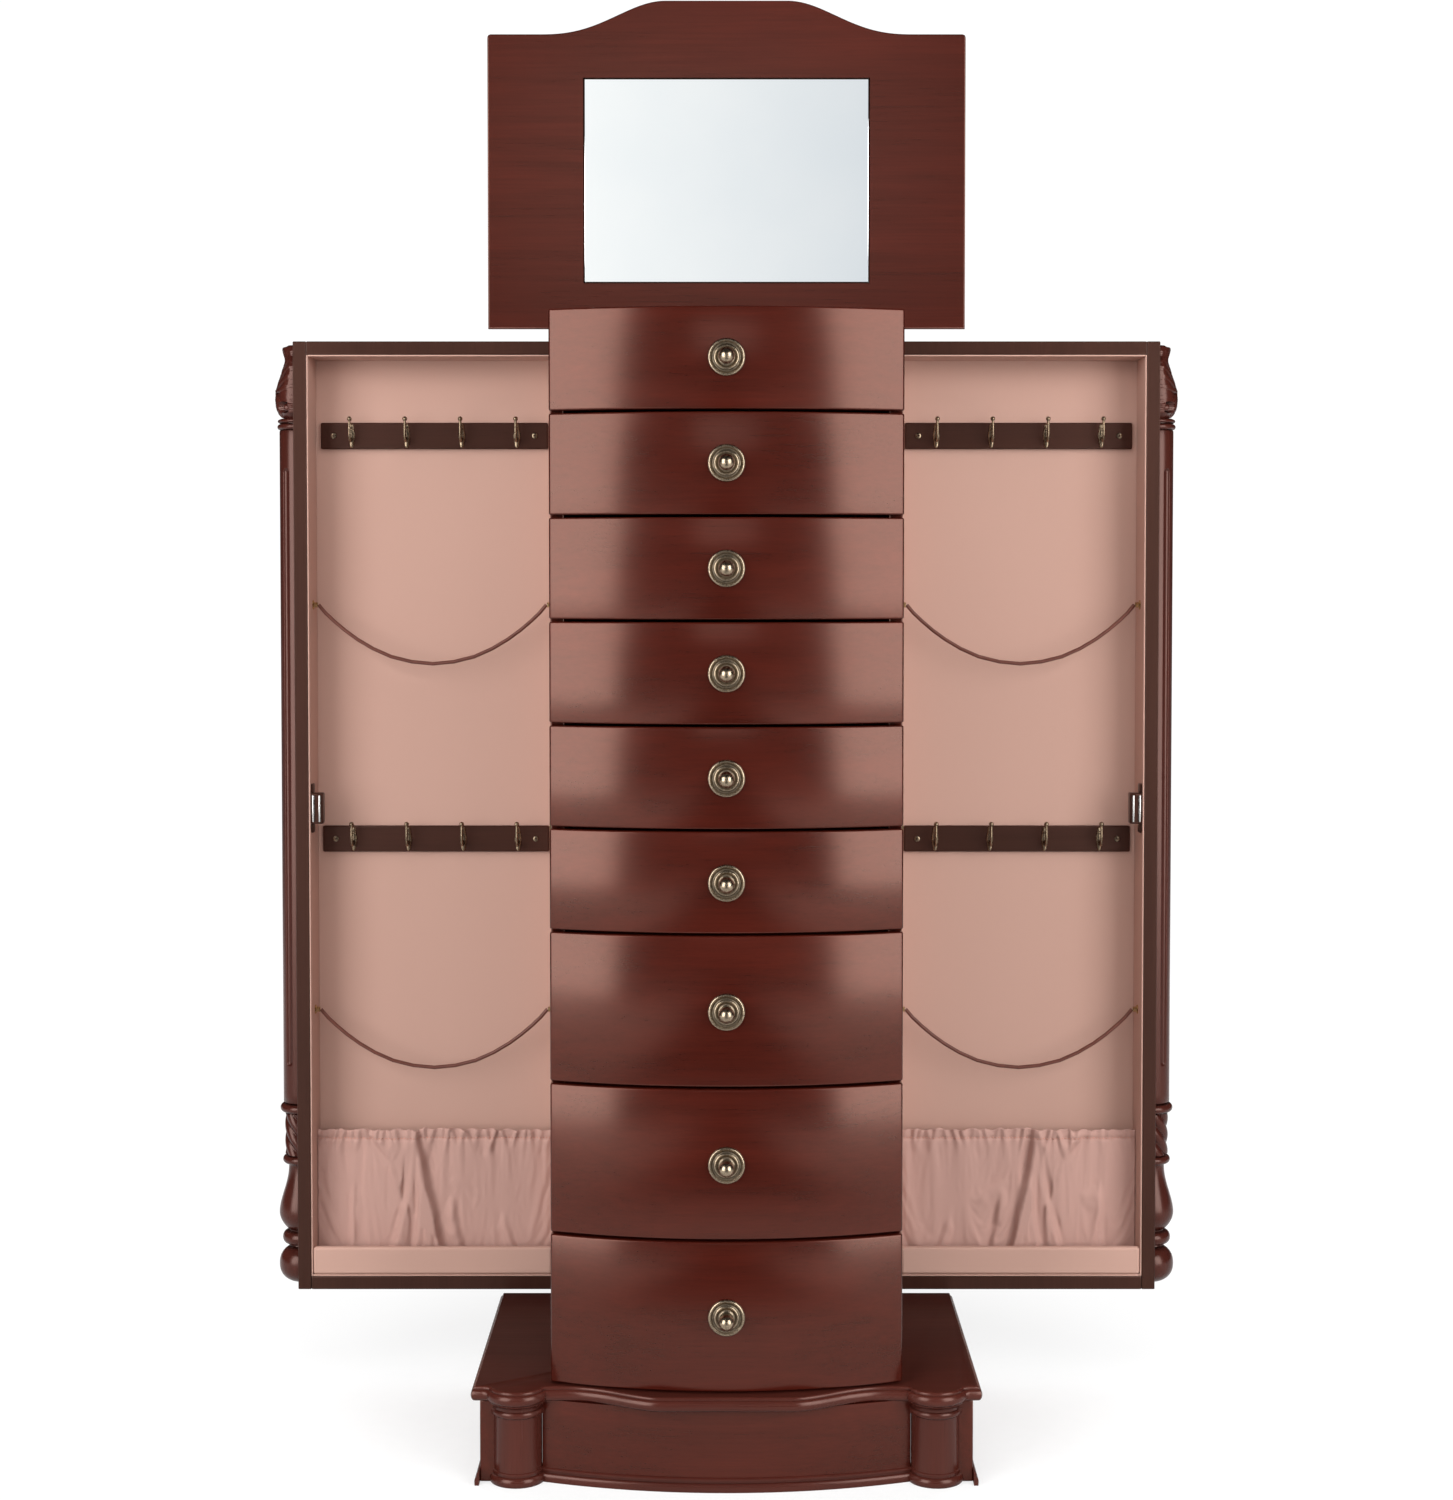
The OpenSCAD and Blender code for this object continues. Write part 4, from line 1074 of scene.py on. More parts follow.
@operator
class ARMOIRE_OT_carcass(bpy.types.Operator):
    """Carcass sides, back and drawer runners"""

    bl_idname = "armoire.carcass"
    bl_label = "Carcass"

    def execute(self, context):
        ease = context.scene.armoire_sizes.board_ease
        for node, name, slot, material in (
                ("carcass_sides", "side_panels", "cherry", cherry("z")),
                ("carcass_back", "back_panel", "dark_wood", espresso("z")),
                ("drawer_runners", "runners", "dark_wood", espresso("y"))):
            bm = boards_like(node, ease)
            make_piece(name, bm, "cabinet", [material], [node])
        return {"FINISHED"}


LID_LAYERS = [(1.2, 0.0), (0.4, 0.35), (0.0, 1.2), (0.0, 4.5), (0.15, 6.4), (0.7, 8.6), (1.6, 10.4),
              (2.9, 11.8), (4.0, 12.4), (4.4, 12.5), (4.4, 13.3), (4.9, 14.3), (6.0, 15.0)]


@operator
class ARMOIRE_OT_lid(bpy.types.Operator):
    """Lid with its serpentine edge and the mirror let into it"""

    bl_idname = "armoire.lid"
    bl_label = "Lid and mirror"

    def execute(self, context):
        shut = LID_OPEN.inverted()
        low, high = self.shut_box("lid_board", shut)
        glass = self.shut_box("lid_mirror", shut)
        self.board(low, high, glass)
        self.mirror(glass)
        return {"FINISHED"}

    def shut_box(self, node, shut):
        points = [shut @ vert.co for vert in NODES[node].data.vertices]
        low = Vector([min(p[k] for p in points) for k in range(3)])
        return low, Vector([max(p[k] for p in points) for k in range(3)])

    def board(self, low, high, glass):
        bow, corner = 0.032, 0.003
        front_y = low.y + bow
        outline = [(x / 1000, front_y - bow * bow_share(x / 1000, high.x - 0.049, 0.122))
                   for x in range(0, int(high.x * 1000) - 3, 3)]
        outline += [(high.x - corner, front_y), (high.x - corner * 0.3, front_y + corner * 0.3),
                    (high.x, front_y + corner), (high.x, high.y)]
        outline += [(-x, y) for x, y in reversed(outline[1:])]
        bm = bmesh.new()
        add_slab(bm, outline, metres(LID_LAYERS, low.z))
        under = min(bm.faces, key=lambda face: face.calc_center_median().z)
        self.sink_mirror(bm, under, glass, low.z)
        bmesh.ops.transform(bm, matrix=LID_OPEN, verts=bm.verts)
        piece = make_piece("lid_plank", bm, "lid", [cherry("x"), espresso("x")],
                           ["lid_board"], sharp=40, flat_area=0)
        for polygon in piece.data.polygons:
            if abs(polygon.normal.y) > 0.9999:
                polygon.use_smooth = False

    def sink_mirror(self, bm, under, glass, z):
        """Cuts the mirror's recess into the lid's underside."""
        gap = 0.0004
        rim = list(under.edges)
        bmesh.ops.delete(bm, geom=[under], context="FACES_ONLY")
        corners = [(glass[0].x - gap, glass[0].y - gap), (glass[1].x + gap, glass[0].y - gap),
                   (glass[1].x + gap, glass[1].y + gap), (glass[0].x - gap, glass[1].y + gap)]
        rings = []
        for height in (z, glass[1].z):
            ring = [bm.verts.new((x, y, height)) for x, y in corners]
            for pair in zip(ring, ring[1:] + ring[:1]):
                bm.edges.new(pair)
            rings.append(ring)
        mouth = [bm.edges.get(pair) for pair in zip(rings[0], rings[0][1:] + rings[0][:1])]
        bmesh.ops.triangle_fill(bm, use_beauty=True, use_dissolve=False, edges=rim + mouth)
        floor = [bm.edges.get(pair) for pair in zip(rings[1], rings[1][1:] + rings[1][:1])]
        made = bmesh.ops.bridge_loops(bm, edges=mouth + floor)["faces"]
        made += bmesh.ops.contextual_create(bm, geom=floor)["faces"]
        for face in made:
            face.material_index = 1
        bmesh.ops.recalc_face_normals(bm, faces=bm.faces[:])

    def mirror(self, glass):
        bm = bmesh.new()
        add_board(bm, glass[0], glass[1], 0.0, 1)
        near = [edge for edge in bm.edges if all(v.co.z < glass[0].z + 1e-5 for v in edge.verts)]
        bmesh.ops.bevel(bm, geom=near, offset=0.0012, affect="EDGES", segments=1, profile=0.5,
                        material=-1)
        bmesh.ops.transform(bm, matrix=LID_OPEN, verts=bm.verts)
        make_piece("mirror", bm, "lid", [mirror_glass()], ["lid_mirror"], sharp=10)


def leaf_relief(u, v, spine, widths, height, lift):
    """Relief of one carved leaf over the points (u, v): its spine is a bent line in millimetres."""
    start, bend, tip = (np.array(point, float) for point in spine)
    best = np.full(u.shape, -9.0)
    count = 40
    for k in range(count + 1):
        t = k / count
        x, y = (1 - t) ** 2 * start + 2 * t * (1 - t) * bend + t * t * tip
        width = widths[0] * (1 - t) ** 2 + 2 * widths[1] * t * (1 - t) + widths[2] * t * t
        share = np.hypot(u - x, v - y) / width
        ridges = 0.70 + 0.30 * np.cos(3 * math.pi * np.minimum(share, 1))
        rise = (height + lift * t) * np.sqrt(np.clip(1 - share ** 2, 0, 1)) * ridges
        best = np.maximum(best, np.where(share < 1, rise, -9.0))
    return best


# Carved leaves on a capital's right half, as (spine, widths, height, lift), in millimetres
LEAVES = [
    (((1.2, 44), (1.0, 56), (2.0, 70)), (1.3, 1.7, 1.6), 2.2, 0.6),
    (((2.0, 46), (9.5, 52), (9.5, 66)), (1.6, 2.4, 2.6), 2.2, 0.8),
    (((2.5, 68), (6.0, 71.5), (10.0, 67)), (2.0, 2.2, 2.2), 2.4, 0.6),
    (((1.6, 36), (6.0, 48), (17.0, 58)), (1.6, 2.6, 2.2), 3.0, 1.4),
    (((1.8, 30), (8.5, 42), (20.5, 50.5)), (1.6, 2.7, 2.2), 2.8, 1.4),
    (((2.2, 25), (10.5, 34), (21.5, 41)), (1.8, 2.8, 2.2), 2.8, 1.2),
    (((2.0, 31), (7.0, 25), (20.0, 31)), (1.6, 2.6, 2.2), 2.4, 1.0),
    (((0.8, 30), (2.4, 22), (2.6, 12)), (1.3, 1.5, 1.4), 2.2, 0.4),
    (((2.6, 29), (6.0, 22), (7.4, 8)), (1.4, 1.8, 1.6), 2.4, 0.4),
    (((4.0, 27), (10.0, 20), (12.0, 6)), (1.5, 2.0, 1.8), 2.4, 0.4),
    (((5.5, 25), (13.5, 20), (16.0, 15)), (1.5, 2.0, 1.8), 2.4, 0.4),
    (((0.3, 17), (2.2, 10), (6.0, 2.5)), (1.0, 1.5, 1.5), 2.8, 0.2),
    (((0.0, 9), (0.0, 6), (0.0, 2.5)), (1.2, 1.5, 1.2), 2.0, 0.2)]
# Side view of the capital's scroll: height over the stile at distances from its bottom edge
SCROLL_UP = (0, 2, 6, 12, 20, 28, 36, 44, 51, 57, 62, 67, 71, 73.4)
SCROLL_OUT = (9, 13, 16.5, 19.5, 20.5, 19.5, 16.5, 12.8, 10.2, 9.2, 10.2, 12.0, 12.0, 8.0)
# Half width of the capital at those distances
SCROLL_WIDTH = (17, 19, 23, 24, 22.5, 22, 23, 23.5, 22.5, 20, 15, 14, 11.5, 7)


def capital_relief(u, v):
    """Height of the carved capital over the stile, in millimetres, and below zero outside it."""
    side = np.abs(u)
    carving = np.full(u.shape, -9.0)
    for spine, widths, height, lift in LEAVES:
        carving = np.maximum(carving, leaf_relief(side, v, spine, widths, height, lift))
    eye = np.hypot((side - 5.4) / 1.7, (v - 60.5) / 5.2)
    carving = np.where(eye < 1, -1.6 + 1.6 * eye ** 2, np.maximum(carving, -0.6))
    edge = side / np.interp(v, SCROLL_UP, SCROLL_WIDTH)
    mound = np.interp(v, SCROLL_UP, SCROLL_OUT) * np.clip(1 - edge ** 2.4, 0, 1) ** 0.55
    relief = 2.0 + 0.86 * mound + carving * np.clip(1.15 - edge, 0.25, 1)
    turn = np.arctan2(v - 11.3, side - 19.0)
    coil = np.hypot(side - 19.0, v - 11.3)
    scroll = 9.6 + 1.3 * np.cos(2 * math.pi * coil / 2.9 + turn) - 0.16 * coil ** 2
    relief = np.where(coil < 5.6, np.maximum(scroll, relief * 0.4), relief)
    return np.where((edge < 1) | (coil < 5.0), relief, -2.0)


def add_capital(bm, foot, top, rows=184, columns=128):
    """Adds the leaf-carved capital as a relief over the stile's face."""
    half, tall = 0.0255, top - foot
    others = set(bm.verts)
    bmesh.ops.create_grid(bm, x_segments=columns, y_segments=rows, size=1.0,
                          matrix=Matrix.Identity(4))
    made = [vert for vert in bm.verts if vert not in others]
    u = np.array([vert.co.x for vert in made]) * half * 1000
    v = (np.array([vert.co.y for vert in made]) + 1) / 2 * 73.0
    relief = capital_relief(u, v) / 1000
    for vert, across, up, out in zip(made, u, v, relief):
        vert.co = (across / 1000, max(out, -0.001), foot + up / 73.0 * tall)
    outside = [face for vert in made for face in vert.link_faces
               if all(corner.co.y < 0 for corner in face.verts)]
    bmesh.ops.delete(bm, geom=list(set(outside)), context="FACES")
    made = [vert for vert in bm.verts if vert not in others]
    loose = [vert for vert in made if not vert.link_faces]
    bmesh.ops.delete(bm, geom=loose, context="VERTS")
    made = [vert for vert in bm.verts if vert not in others]
    rim = [edge for edge in {e for vert in made for e in vert.link_edges} if edge.is_boundary]
    grown = bmesh.ops.extrude_edge_only(bm, edges=rim)["geom"]
    for item in grown:
        if isinstance(item, bmesh.types.BMVert):
            item.co.y = -0.0012
    back = [item for item in grown if isinstance(item, bmesh.types.BMEdge) and item.is_boundary]
    bmesh.ops.triangle_fill(bm, use_beauty=False, use_dissolve=False, edges=back)
    made = [vert for vert in bm.verts if vert not in others]
    bmesh.ops.recalc_face_normals(bm, faces=list({f for vert in made for f in vert.link_faces}))


def ring_points(low, high, inner, outer, count=10):
    """Half-round ring of a turning between two heights."""
    return [(inner + (outer - inner) * math.cos(math.radians(-90 + 180 * k / count)),
             (low + high) / 2 + (high - low) / 2 * math.sin(math.radians(-90 + 180 * k / count)))
            for k in range(count + 1)]


@operator
class ARMOIRE_OT_columns(bpy.types.Operator):
    """Carved half columns on the doors' front stiles"""

    bl_idname = "armoire.columns"
    bl_label = "Columns"

    def execute(self, context):
        sizes = context.scene.armoire_sizes
        for side, sign in SIDES.items():
            low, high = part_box(f"door_{side}_column")
            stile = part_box(f"door_{side}_frame")
            face_x = stile[1].x if sign > 0 else stile[0].x
            door_low, door_high = stile[0].z, stile[1].z
            centre = Vector((face_x, (low.y + high.y) / 2, door_low))
            turn = Matrix.Rotation(math.radians(-90 * sign), 4, "Z")
            place = Matrix.Translation(centre) @ turn
            self.turning(side, place, (door_high - door_low) * 1000, sizes)
            bm = bmesh.new()
            tall = door_high - door_low
            add_capital(bm, tall - 0.0745, tall - 0.0018)
            bmesh.ops.transform(bm, matrix=place, verts=bm.verts)
            make_piece(f"capital_{side}", bm, "door_" + side, [moulding("z")],
                       flat_area=0, sharp=60)
        return {"FINISHED"}

    def profile(self, door_height):
        """Outline of the turning in millimetres: (radius, height) from the foot up."""
        ball = [(23.2 * (1 - abs((z - 20) / 19.2) ** 2.4) ** (1 / 2.2), z)
                for z in (1.4, 2.2, 3.5, 5, 7, 9.5, 12, 15, 18, 20, 22, 25, 28, 31, 33.5, 35.5, 37)]
        vase = []
        for k in range(27):
            t = k / 26
            if t < 0.27:
                full = math.sin(math.radians(90) * t / 0.27) ** 0.8
            else:
                full = (1 + math.cos(math.pi * ((t - 0.27) / 0.73) ** 0.9)) / 2
            vase.append((13.6 + 9.4 * full, 54 + 64 * t))
        shaft_top = door_height - 85
        points = [(0, 1)] + ball + [(14.0, 38.2), (13.8, 39.4)]
        points += ring_points(40, 52.4, 15.2, 20.0) + [(13.6, 53.2)] + vase
        points += [(14.0, 119)] + ring_points(119.8, 128, 15.0, 19.4) + [(15.8, 128.6)]
        points += [(17.2, 129 + k) for k in range(42)]
        points += [(15.8, 170.6)] + ring_points(171, 180, 16.6, 21.6) + [(17.6, 180.6), (18.2, 181.4)]
        steps = [0.6 * k for k in range(-7, 8)]
        ends = [0.0, 190 - 181.6, 215 - 181.6] + [221 - 181.6 + step for step in steps]
        reach = shaft_top - 181.6 - 1
        upper = [reach - 40 + step for step in steps] + [reach - 20, reach]
        body = [300 - 181.6, 400 - 181.6, 500 - 181.6, 600 - 181.6, 700 - 181.6]
        points += [(18.4, 181.6 + z) for z in ends + body + upper]
        points += [(17.8, shaft_top)]
        points += ring_points(shaft_top + 0.4, shaft_top + 6.2, 17.4, 20.4)
        points += [(18.2, shaft_top + 6.7)] + ring_points(shaft_top + 7.1, shaft_top + 10.6, 18.2, 20.0)
        return points + [(17.4, shaft_top + 11.2), (0, shaft_top + 11.2)]

    def turning(self, side, place, door_height, sizes):
        inset = 0.0005
        bm = bmesh.new()
        add_turning(bm, metres(self.profile(door_height)), 120, math.pi)
        shaft_top = (door_height - 85) / 1000
        flute_low, flute_high, flute_half = 0.222, shaft_top - 0.041, 0.0034
        for vert in bm.verts:
            x, y, z = vert.co
            radius, angle = math.hypot(x, y), math.atan2(y, x)
            if radius < 1e-5:
                continue
            change = 0.0
            if 0.181 < z < shaft_top - 0.002:
                for middle_angle in (33, 90, 147):
                    across = (angle - math.radians(middle_angle)) * radius
                    along = max(flute_low - z, z - flute_high, 0.0)
                    share = (across * across + along * along) / flute_half ** 2
                    if share < 1:
                        change = -sizes.flute_depth * math.sqrt(1 - share)
            elif 0.1288 <= z <= 0.1702:
                phase = sizes.rope_strands * angle / 2 + math.pi * (z - 0.1288) / 0.0165
                change = -sizes.rope_depth * (1 - abs(math.sin(phase)) ** 0.75)
            vert.co.x += math.cos(angle) * change
            vert.co.y += math.sin(angle) * change
        bmesh.ops.translate(bm, vec=(0, -inset, 0), verts=bm.verts)
        bmesh.ops.transform(bm, matrix=place, verts=bm.verts)
        make_piece(f"column_{side}", bm, "door_" + side, [moulding("z")],
                   [f"door_{side}_column"], sharp=48, flat_area=0)


@operator
class ARMOIRE_OT_doors(bpy.types.Operator):
    """Frames, panels and linings of the side doors"""

    bl_idname = "armoire.doors"
    bl_label = "Side doors"

    def execute(self, context):
        sizes = context.scene.armoire_sizes
        for side in SIDES:
            body = "door_" + side
            bm = boards_like(f"{body}_frame", sizes.board_ease)
            make_piece(f"{body}_boards", bm, body, [espresso("z")], [f"{body}_frame"])
            bm = boards_like(f"{body}_panel", sizes.board_ease)
            make_piece(f"{body}_outer", bm, body, [cherry("z")], [f"{body}_panel"])
            bm = bmesh.new()
            parts = solids(f"{body}_lining")
            ledge = [pair for pair in parts if 0.02 < pair[1].z - pair[0].z < 0.06]
            for pair in parts:
                soft = 0.0028 if pair in ledge else sizes.lining_ease
                add_board(bm, *pair, soft, 4 if pair in ledge else 2)
            make_piece(f"{body}_velvet", bm, body, [velvet()], [f"{body}_lining"])
        return {"FINISHED"}


def screw_head(bm, place, radius=0.003, rise=0.0012):
    """Adds a round screw head with a cross of the dark wood finish set into its top as painted shade of a
    slot, its axis along the place's Z.
    """
    profile = [(0, 0), (radius, 0), (radius * 0.98, rise * 0.35), (radius * 0.85, rise * 0.75),
               (radius * 0.5, rise), (0.0, rise)]
    add_turning(bm, profile, 24, place=place)
    for turn in (0, 90):
        arm = place @ Matrix.Rotation(math.radians(turn), 4, "Z") @ Matrix.Translation((0, 0, rise * 0.98))
        cut = bmesh.ops.create_cube(bm, size=1.0, matrix=arm @ Matrix.Diagonal(
            (radius * 1.1, radius * 0.22, rise * 0.12, 1)))
        # Painted shade: the cross takes the dark wood finish in place of a cut slot's shadow
        for face in {f for v in cut["verts"] for f in v.link_faces}:
            face.material_index = 1


@operator
class ARMOIRE_OT_hooks(bpy.types.Operator):
    """Hook rails, their screws and the necklace hooks"""

    bl_idname = "armoire.hooks"
    bl_label = "Hooks and rails"

    def execute(self, context):
        rail_thick, screw_inset = 0.005, 0.013
        forward = Matrix.Rotation(math.radians(90), 4, "X")
        for side in SIDES:
            body = "door_" + side
            rails, screws, hooks = bmesh.new(), bmesh.new(), bmesh.new()
            for low, high in solids(f"{body}_hook_rails"):
                face_y = high.y - rail_thick
                add_board(rails, (low.x, face_y, low.z), high, 0.0014, 3)
                for x in (low.x + screw_inset, high.x - screw_inset):
                    place = Matrix.Translation((x, face_y - 0.0001, (low.z + high.z) / 2)) @ forward
                    screw_head(screws, place)
            for low, high in solids(f"{body}_hooks"):
                self.hook(hooks, Vector(((low.x + high.x) / 2, high.y, low.z + 0.012)))
            make_piece(f"{body}_rails", rails, body, [espresso("x")],
                       [f"{body}_hook_rails"])
            # The screws' second finish, dark wood, is painted shade in their slots
            make_piece(f"{body}_rail_screws", screws, body, [antique_bronze(), espresso("x")],
                       flat_area=0)
            make_piece(f"{body}_cast_hooks", hooks, body, [antique_bronze()],
                       [f"{body}_hooks"], sharp=50, flat_area=0)
        return {"FINISHED"}

    def hook(self, bm, origin):
        """A lobed plate, an upturned arm and a ball on its tip; origin is the plate's back."""
        outline = []
        for k in range(40):
            angle = 2 * math.pi * k / 40
            waist = 0.0026 + 0.0013 * math.cos(2 * angle + math.pi) ** 2 * (1 - abs(math.cos(angle)))
            lobe = 1 + 0.10 * math.cos(6 * angle)
            outline.append((waist * 1.25 * math.cos(angle) * lobe,
                            0.0118 * math.sin(angle) * (1 + 0.03 * lobe)))
        layers = [(0.0, 0.0), (0.0, 0.0006), (0.0004, 0.0011), (0.0011, 0.0015)]
        others = set(bm.verts)
        add_slab(bm, [(-x, z) for x, z in reversed(outline)], layers)
        made = [vert for vert in bm.verts if vert not in others]
        turn = Matrix.Translation(origin) @ Matrix.Rotation(math.radians(90), 4, "X")
        bmesh.ops.transform(bm, matrix=turn, verts=made)
        path = [(0, -0.0006, -0.0030), (0, -0.004, -0.0044), (0, -0.009, -0.0058), (0, -0.0132, -0.0042),
                (0, -0.0149, 0.0010), (0, -0.0148, 0.0080), (0, -0.0142, 0.0150)]
        radii = [0.0020, 0.0017, 0.0015, 0.0014, 0.0014, 0.0014, 0.0013]
        add_rod(bm, [origin + Vector(point) for point in path], radii)
        add_ball(bm, origin + Vector((0, -0.0142, 0.0160)), 0.0024)
        add_ball(bm, origin + Vector((0, -0.0015, 0.0062)), 0.0014, 12, (1, 0.6, 1))


@operator
class ARMOIRE_OT_fittings(bpy.types.Operator):
    """Hinges, magnetic catches and the ends that hold the cords"""

    bl_idname = "armoire.fittings"
    bl_label = "Fittings"

    def execute(self, context):
        for side in SIDES:
            self.door_fittings(side)
        for node in ("carcass_fittings", "lid_hinge_leaves"):
            NODES[node].data.materials.clear()
            NODES[node].data.materials.append(satin_brass())
        self.hinge_screws()
        return {"FINISHED"}

    def door_fittings(self, side):
        body = "door_" + side
        catch, poles, eyes = (bmesh.new() for _ in range(3))
        for low, high in solids(f"{body}_fittings"):
            size = high - low
            if abs(size.x - 0.0046) < 0.0006 and size.z < 0.006:
                self.cord_eye(eyes, low, high)
            elif 0.04 < size.z < 0.049:
                self.catch(catch, poles, low, high)
        bm = bmesh.new()
        bm.from_mesh(NODES[f"{body}_fittings"].data)
        bmesh.ops.remove_doubles(bm, verts=bm.verts, dist=1e-6)
        pin_x = abs(Vector(JOINTS[f"{body}_hinge"]["pos_m"]).x)
        far = [vert for vert in bm.verts if abs(vert.co.x) > pin_x + 0.010]
        bmesh.ops.delete(bm, geom=far, context="VERTS")
        make_piece(f"{body}_hinges", bm, body, [satin_brass()], [f"{body}_fittings"],
                   sharp=40)
        make_piece(f"{body}_catch", catch, body, [espresso("z"), plated_steel()])
        make_piece(f"{body}_catch_poles", poles, body, [plated_steel()])
        make_piece(f"{body}_cord_eyes", eyes, body, [satin_brass()], flat_area=0)

    def cord_eye(self, bm, low, high):
        """A turned eyelet on the recess's side wall."""
        mid = middle((low, high))
        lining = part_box("door_right_lining" if mid.x > 0 else "door_left_lining")
        inward = 1 if mid.x < (lining[0].x + lining[1].x) / 2 else -1
        wall_x = low.x if inward > 0 else high.x
        place = Matrix.Translation((wall_x, mid.y, mid.z)) @ Matrix.Rotation(
            math.radians(90 * inward), 4, "Y")
        profile = metres([(0, 0), (4.6, 0), (4.6, 0.5), (4.1, 1.1), (3.3, 1.3), (2.7, 1.7), (2.5, 3.4),
                          (2.7, 4.0), (2.6, 4.5), (2.2, 4.6), (1.9, 4.4), (1.9, 2.0), (0, 2.0)])
        add_turning(bm, profile, 28, place=place)

    def catch(self, bm, poles, low, high):
        """Housing with rounded ends, two ears and two pole plates."""
        ear = 0.009
        add_board(bm, (low.x, low.y + 0.002, low.z + ear), (high.x, high.y, high.z - ear), 0.0012, 3)
        outer = low.x if abs(low.x) > abs(high.x) else high.x
        step = 0.0025 if outer == low.x else -0.0025
        for z0, z1 in ((low.z, low.z + ear), (high.z - ear, high.z)):
            add_board(bm, (min(outer, outer + step), low.y + 0.004, z0),
                      (max(outer, outer + step), high.y, z1), 0.0008, 2)
        for share in (0.24, 0.76):
            x = low.x + (high.x - low.x) * share
            add_board(poles, (x - 0.0009, low.y - 0.0001, low.z + ear + 0.002),
                      (x + 0.0009, low.y + 0.003, high.z - ear - 0.002), 0.0003, 2)

    def hinge_screws(self):
        """Countersunk screws through the leaves of the doors' hinges."""
        bm = bmesh.new()
        for low, high in solids("carcass_fittings"):
            size = high - low
            if size.x > 0.02 and size.z > 0.04:
                sign = 1 if low.x > 0 else -1
                x = (low.x + high.x) / 2 - sign * 0.004
                for share in (0.16, 0.5, 0.84):
                    z = low.z + size.z * share
                    place = (Matrix.Translation((x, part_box("carcass_back")[1].y + 0.0010, z))
                             @ Matrix.Rotation(math.radians(-90), 4, "X"))
                    screw_head(bm, place, 0.0028, 0.0006)
        # The screws' second finish, dark wood, is painted shade in their slots
        make_piece("hinge_screws", bm, "cabinet", [satin_brass(), espresso("z")], flat_area=0)


@operator
class ARMOIRE_OT_drawer_boxes(bpy.types.Operator):
    """Drawer boxes lined with velvet"""

    bl_idname = "armoire.drawer_boxes"
    bl_label = "Drawer boxes"

    def execute(self, context):
        ease = context.scene.armoire_sizes.board_ease
        for number in DRAWERS:
            body = f"drawer_{number}"
            low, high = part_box(f"{body}_box")
            bm = bmesh.new()
            for pair in solids(f"{body}_box"):
                add_board(bm, *pair, ease)
            centre = (low + high) / 2
            for face in bm.faces:
                spot = face.calc_center_median()
                towards = Vector((centre.x - spot.x, centre.y - spot.y, high.z - spot.z))
                inner = face.normal.dot(towards) > 0.02 and face.normal.z > -0.5 and (
                    spot.z > low.z + 0.0035 and spot.z < high.z - 0.0001)
                face.material_index = 1 if inner else 0
            make_piece(f"{body}_tray", bm, body, [espresso("y"), velvet()],
                       [f"{body}_box"])
            lining = bmesh.new()
            front_y = low.y
            add_board(lining, (low.x + 0.0085, front_y - 0.00005, low.z + 0.0045),
                      (high.x - 0.0085, front_y + 0.0008, high.z - 0.001), 0.0003, 1)
            make_piece(f"{body}_front_lining", lining, body, [velvet()])
        return {"FINISHED"}


@operator
class ARMOIRE_OT_tray(bpy.types.Operator):
    """Top tray and its ring rolls"""

    bl_idname = "armoire.tray"
    bl_label = "Top tray"

    def execute(self, context):
        bm = boards_like("top_tray", 0.0008, 3)
        make_piece("tray", bm, "cabinet", [velvet()], ["top_tray"])
        for number, (low, high) in enumerate(solids("ring_rolls"), 1):
            self.roll(number, low, high)
        return {"FINISHED"}

    def roll(self, number, low, high):
        """A foam roll wrapped in velvet and drawn in at its ends."""
        radius = (high.z - low.z) / 2
        half = (high.x - low.x) / 2
        stations = [-1.0, -0.998, -0.99, -0.97, -0.93] + [k / 12 for k in range(-10, 11)]
        stations += [0.93, 0.97, 0.99, 0.998, 1.0]
        profile = [(0.0, -half)]
        for share in stations:
            pull = max(0.0, (abs(share) - 0.93) / 0.07)
            crown = radius * (0.985 - 0.30 * pull ** 3) + 0.00015 * math.sin(share * 31 + number)
            profile.append((min(crown, radius), half * share))
        profile.append((0.0, half))
        place = Matrix.Translation(((low.x + high.x) / 2, (low.y + high.y) / 2, (low.z + high.z) / 2))
        bm = bmesh.new()
        add_turning(bm, profile, 40, place=place @ Matrix.Rotation(math.radians(90), 4, "Y"))
        for vert in bm.verts:
            ripple = noise.noise(Vector((vert.co.x * 60, vert.co.y * 90, vert.co.z * 90 + number)))
            out = vert.co - Vector((vert.co.x, place.translation.y, place.translation.z))
            vert.co += out * 0.03 * min(ripple, 0.0)
        nodes = ["ring_rolls"] if number == 1 else []
        roll = make_piece(f"ring_roll_{number}", bm, "cabinet", [velvet()], nodes,
                          sharp=60, flat_area=0)


# Folds of a pouch as ((across, up) of both ends, reach, drop), with across from -0.5 to 0.5,
# up from 0 to 1 and the other two in metres; a negative drop turns the fold's steep side round
POUCH_FOLDS = (
    ((0.070, 0.930), (-0.040, 0.12), 0.022, 0.0088),
    ((0.055, 0.560), (0.095, 0.13), 0.012, -0.0052),
    ((0.105, 0.620), (0.190, 0.13), 0.020, -0.0058),
    ((-0.080, 0.480), (-0.115, 0.13), 0.018, 0.0048),
    ((-0.030, 0.700), (-0.200, 0.50), 0.014, 0.0030),
    ((0.275, 0.950), (0.185, 0.78), 0.012, -0.0048),
    ((0.190, 0.800), (0.120, 0.45), 0.016, 0.0034),
    ((0.355, 0.560), (0.365, 0.15), 0.020, -0.0036),
    ((-0.460, 0.960), (-0.470, 0.20), 0.014, -0.0034),
    ((-0.300, 0.330), (-0.360, 0.05), 0.022, 0.0034))


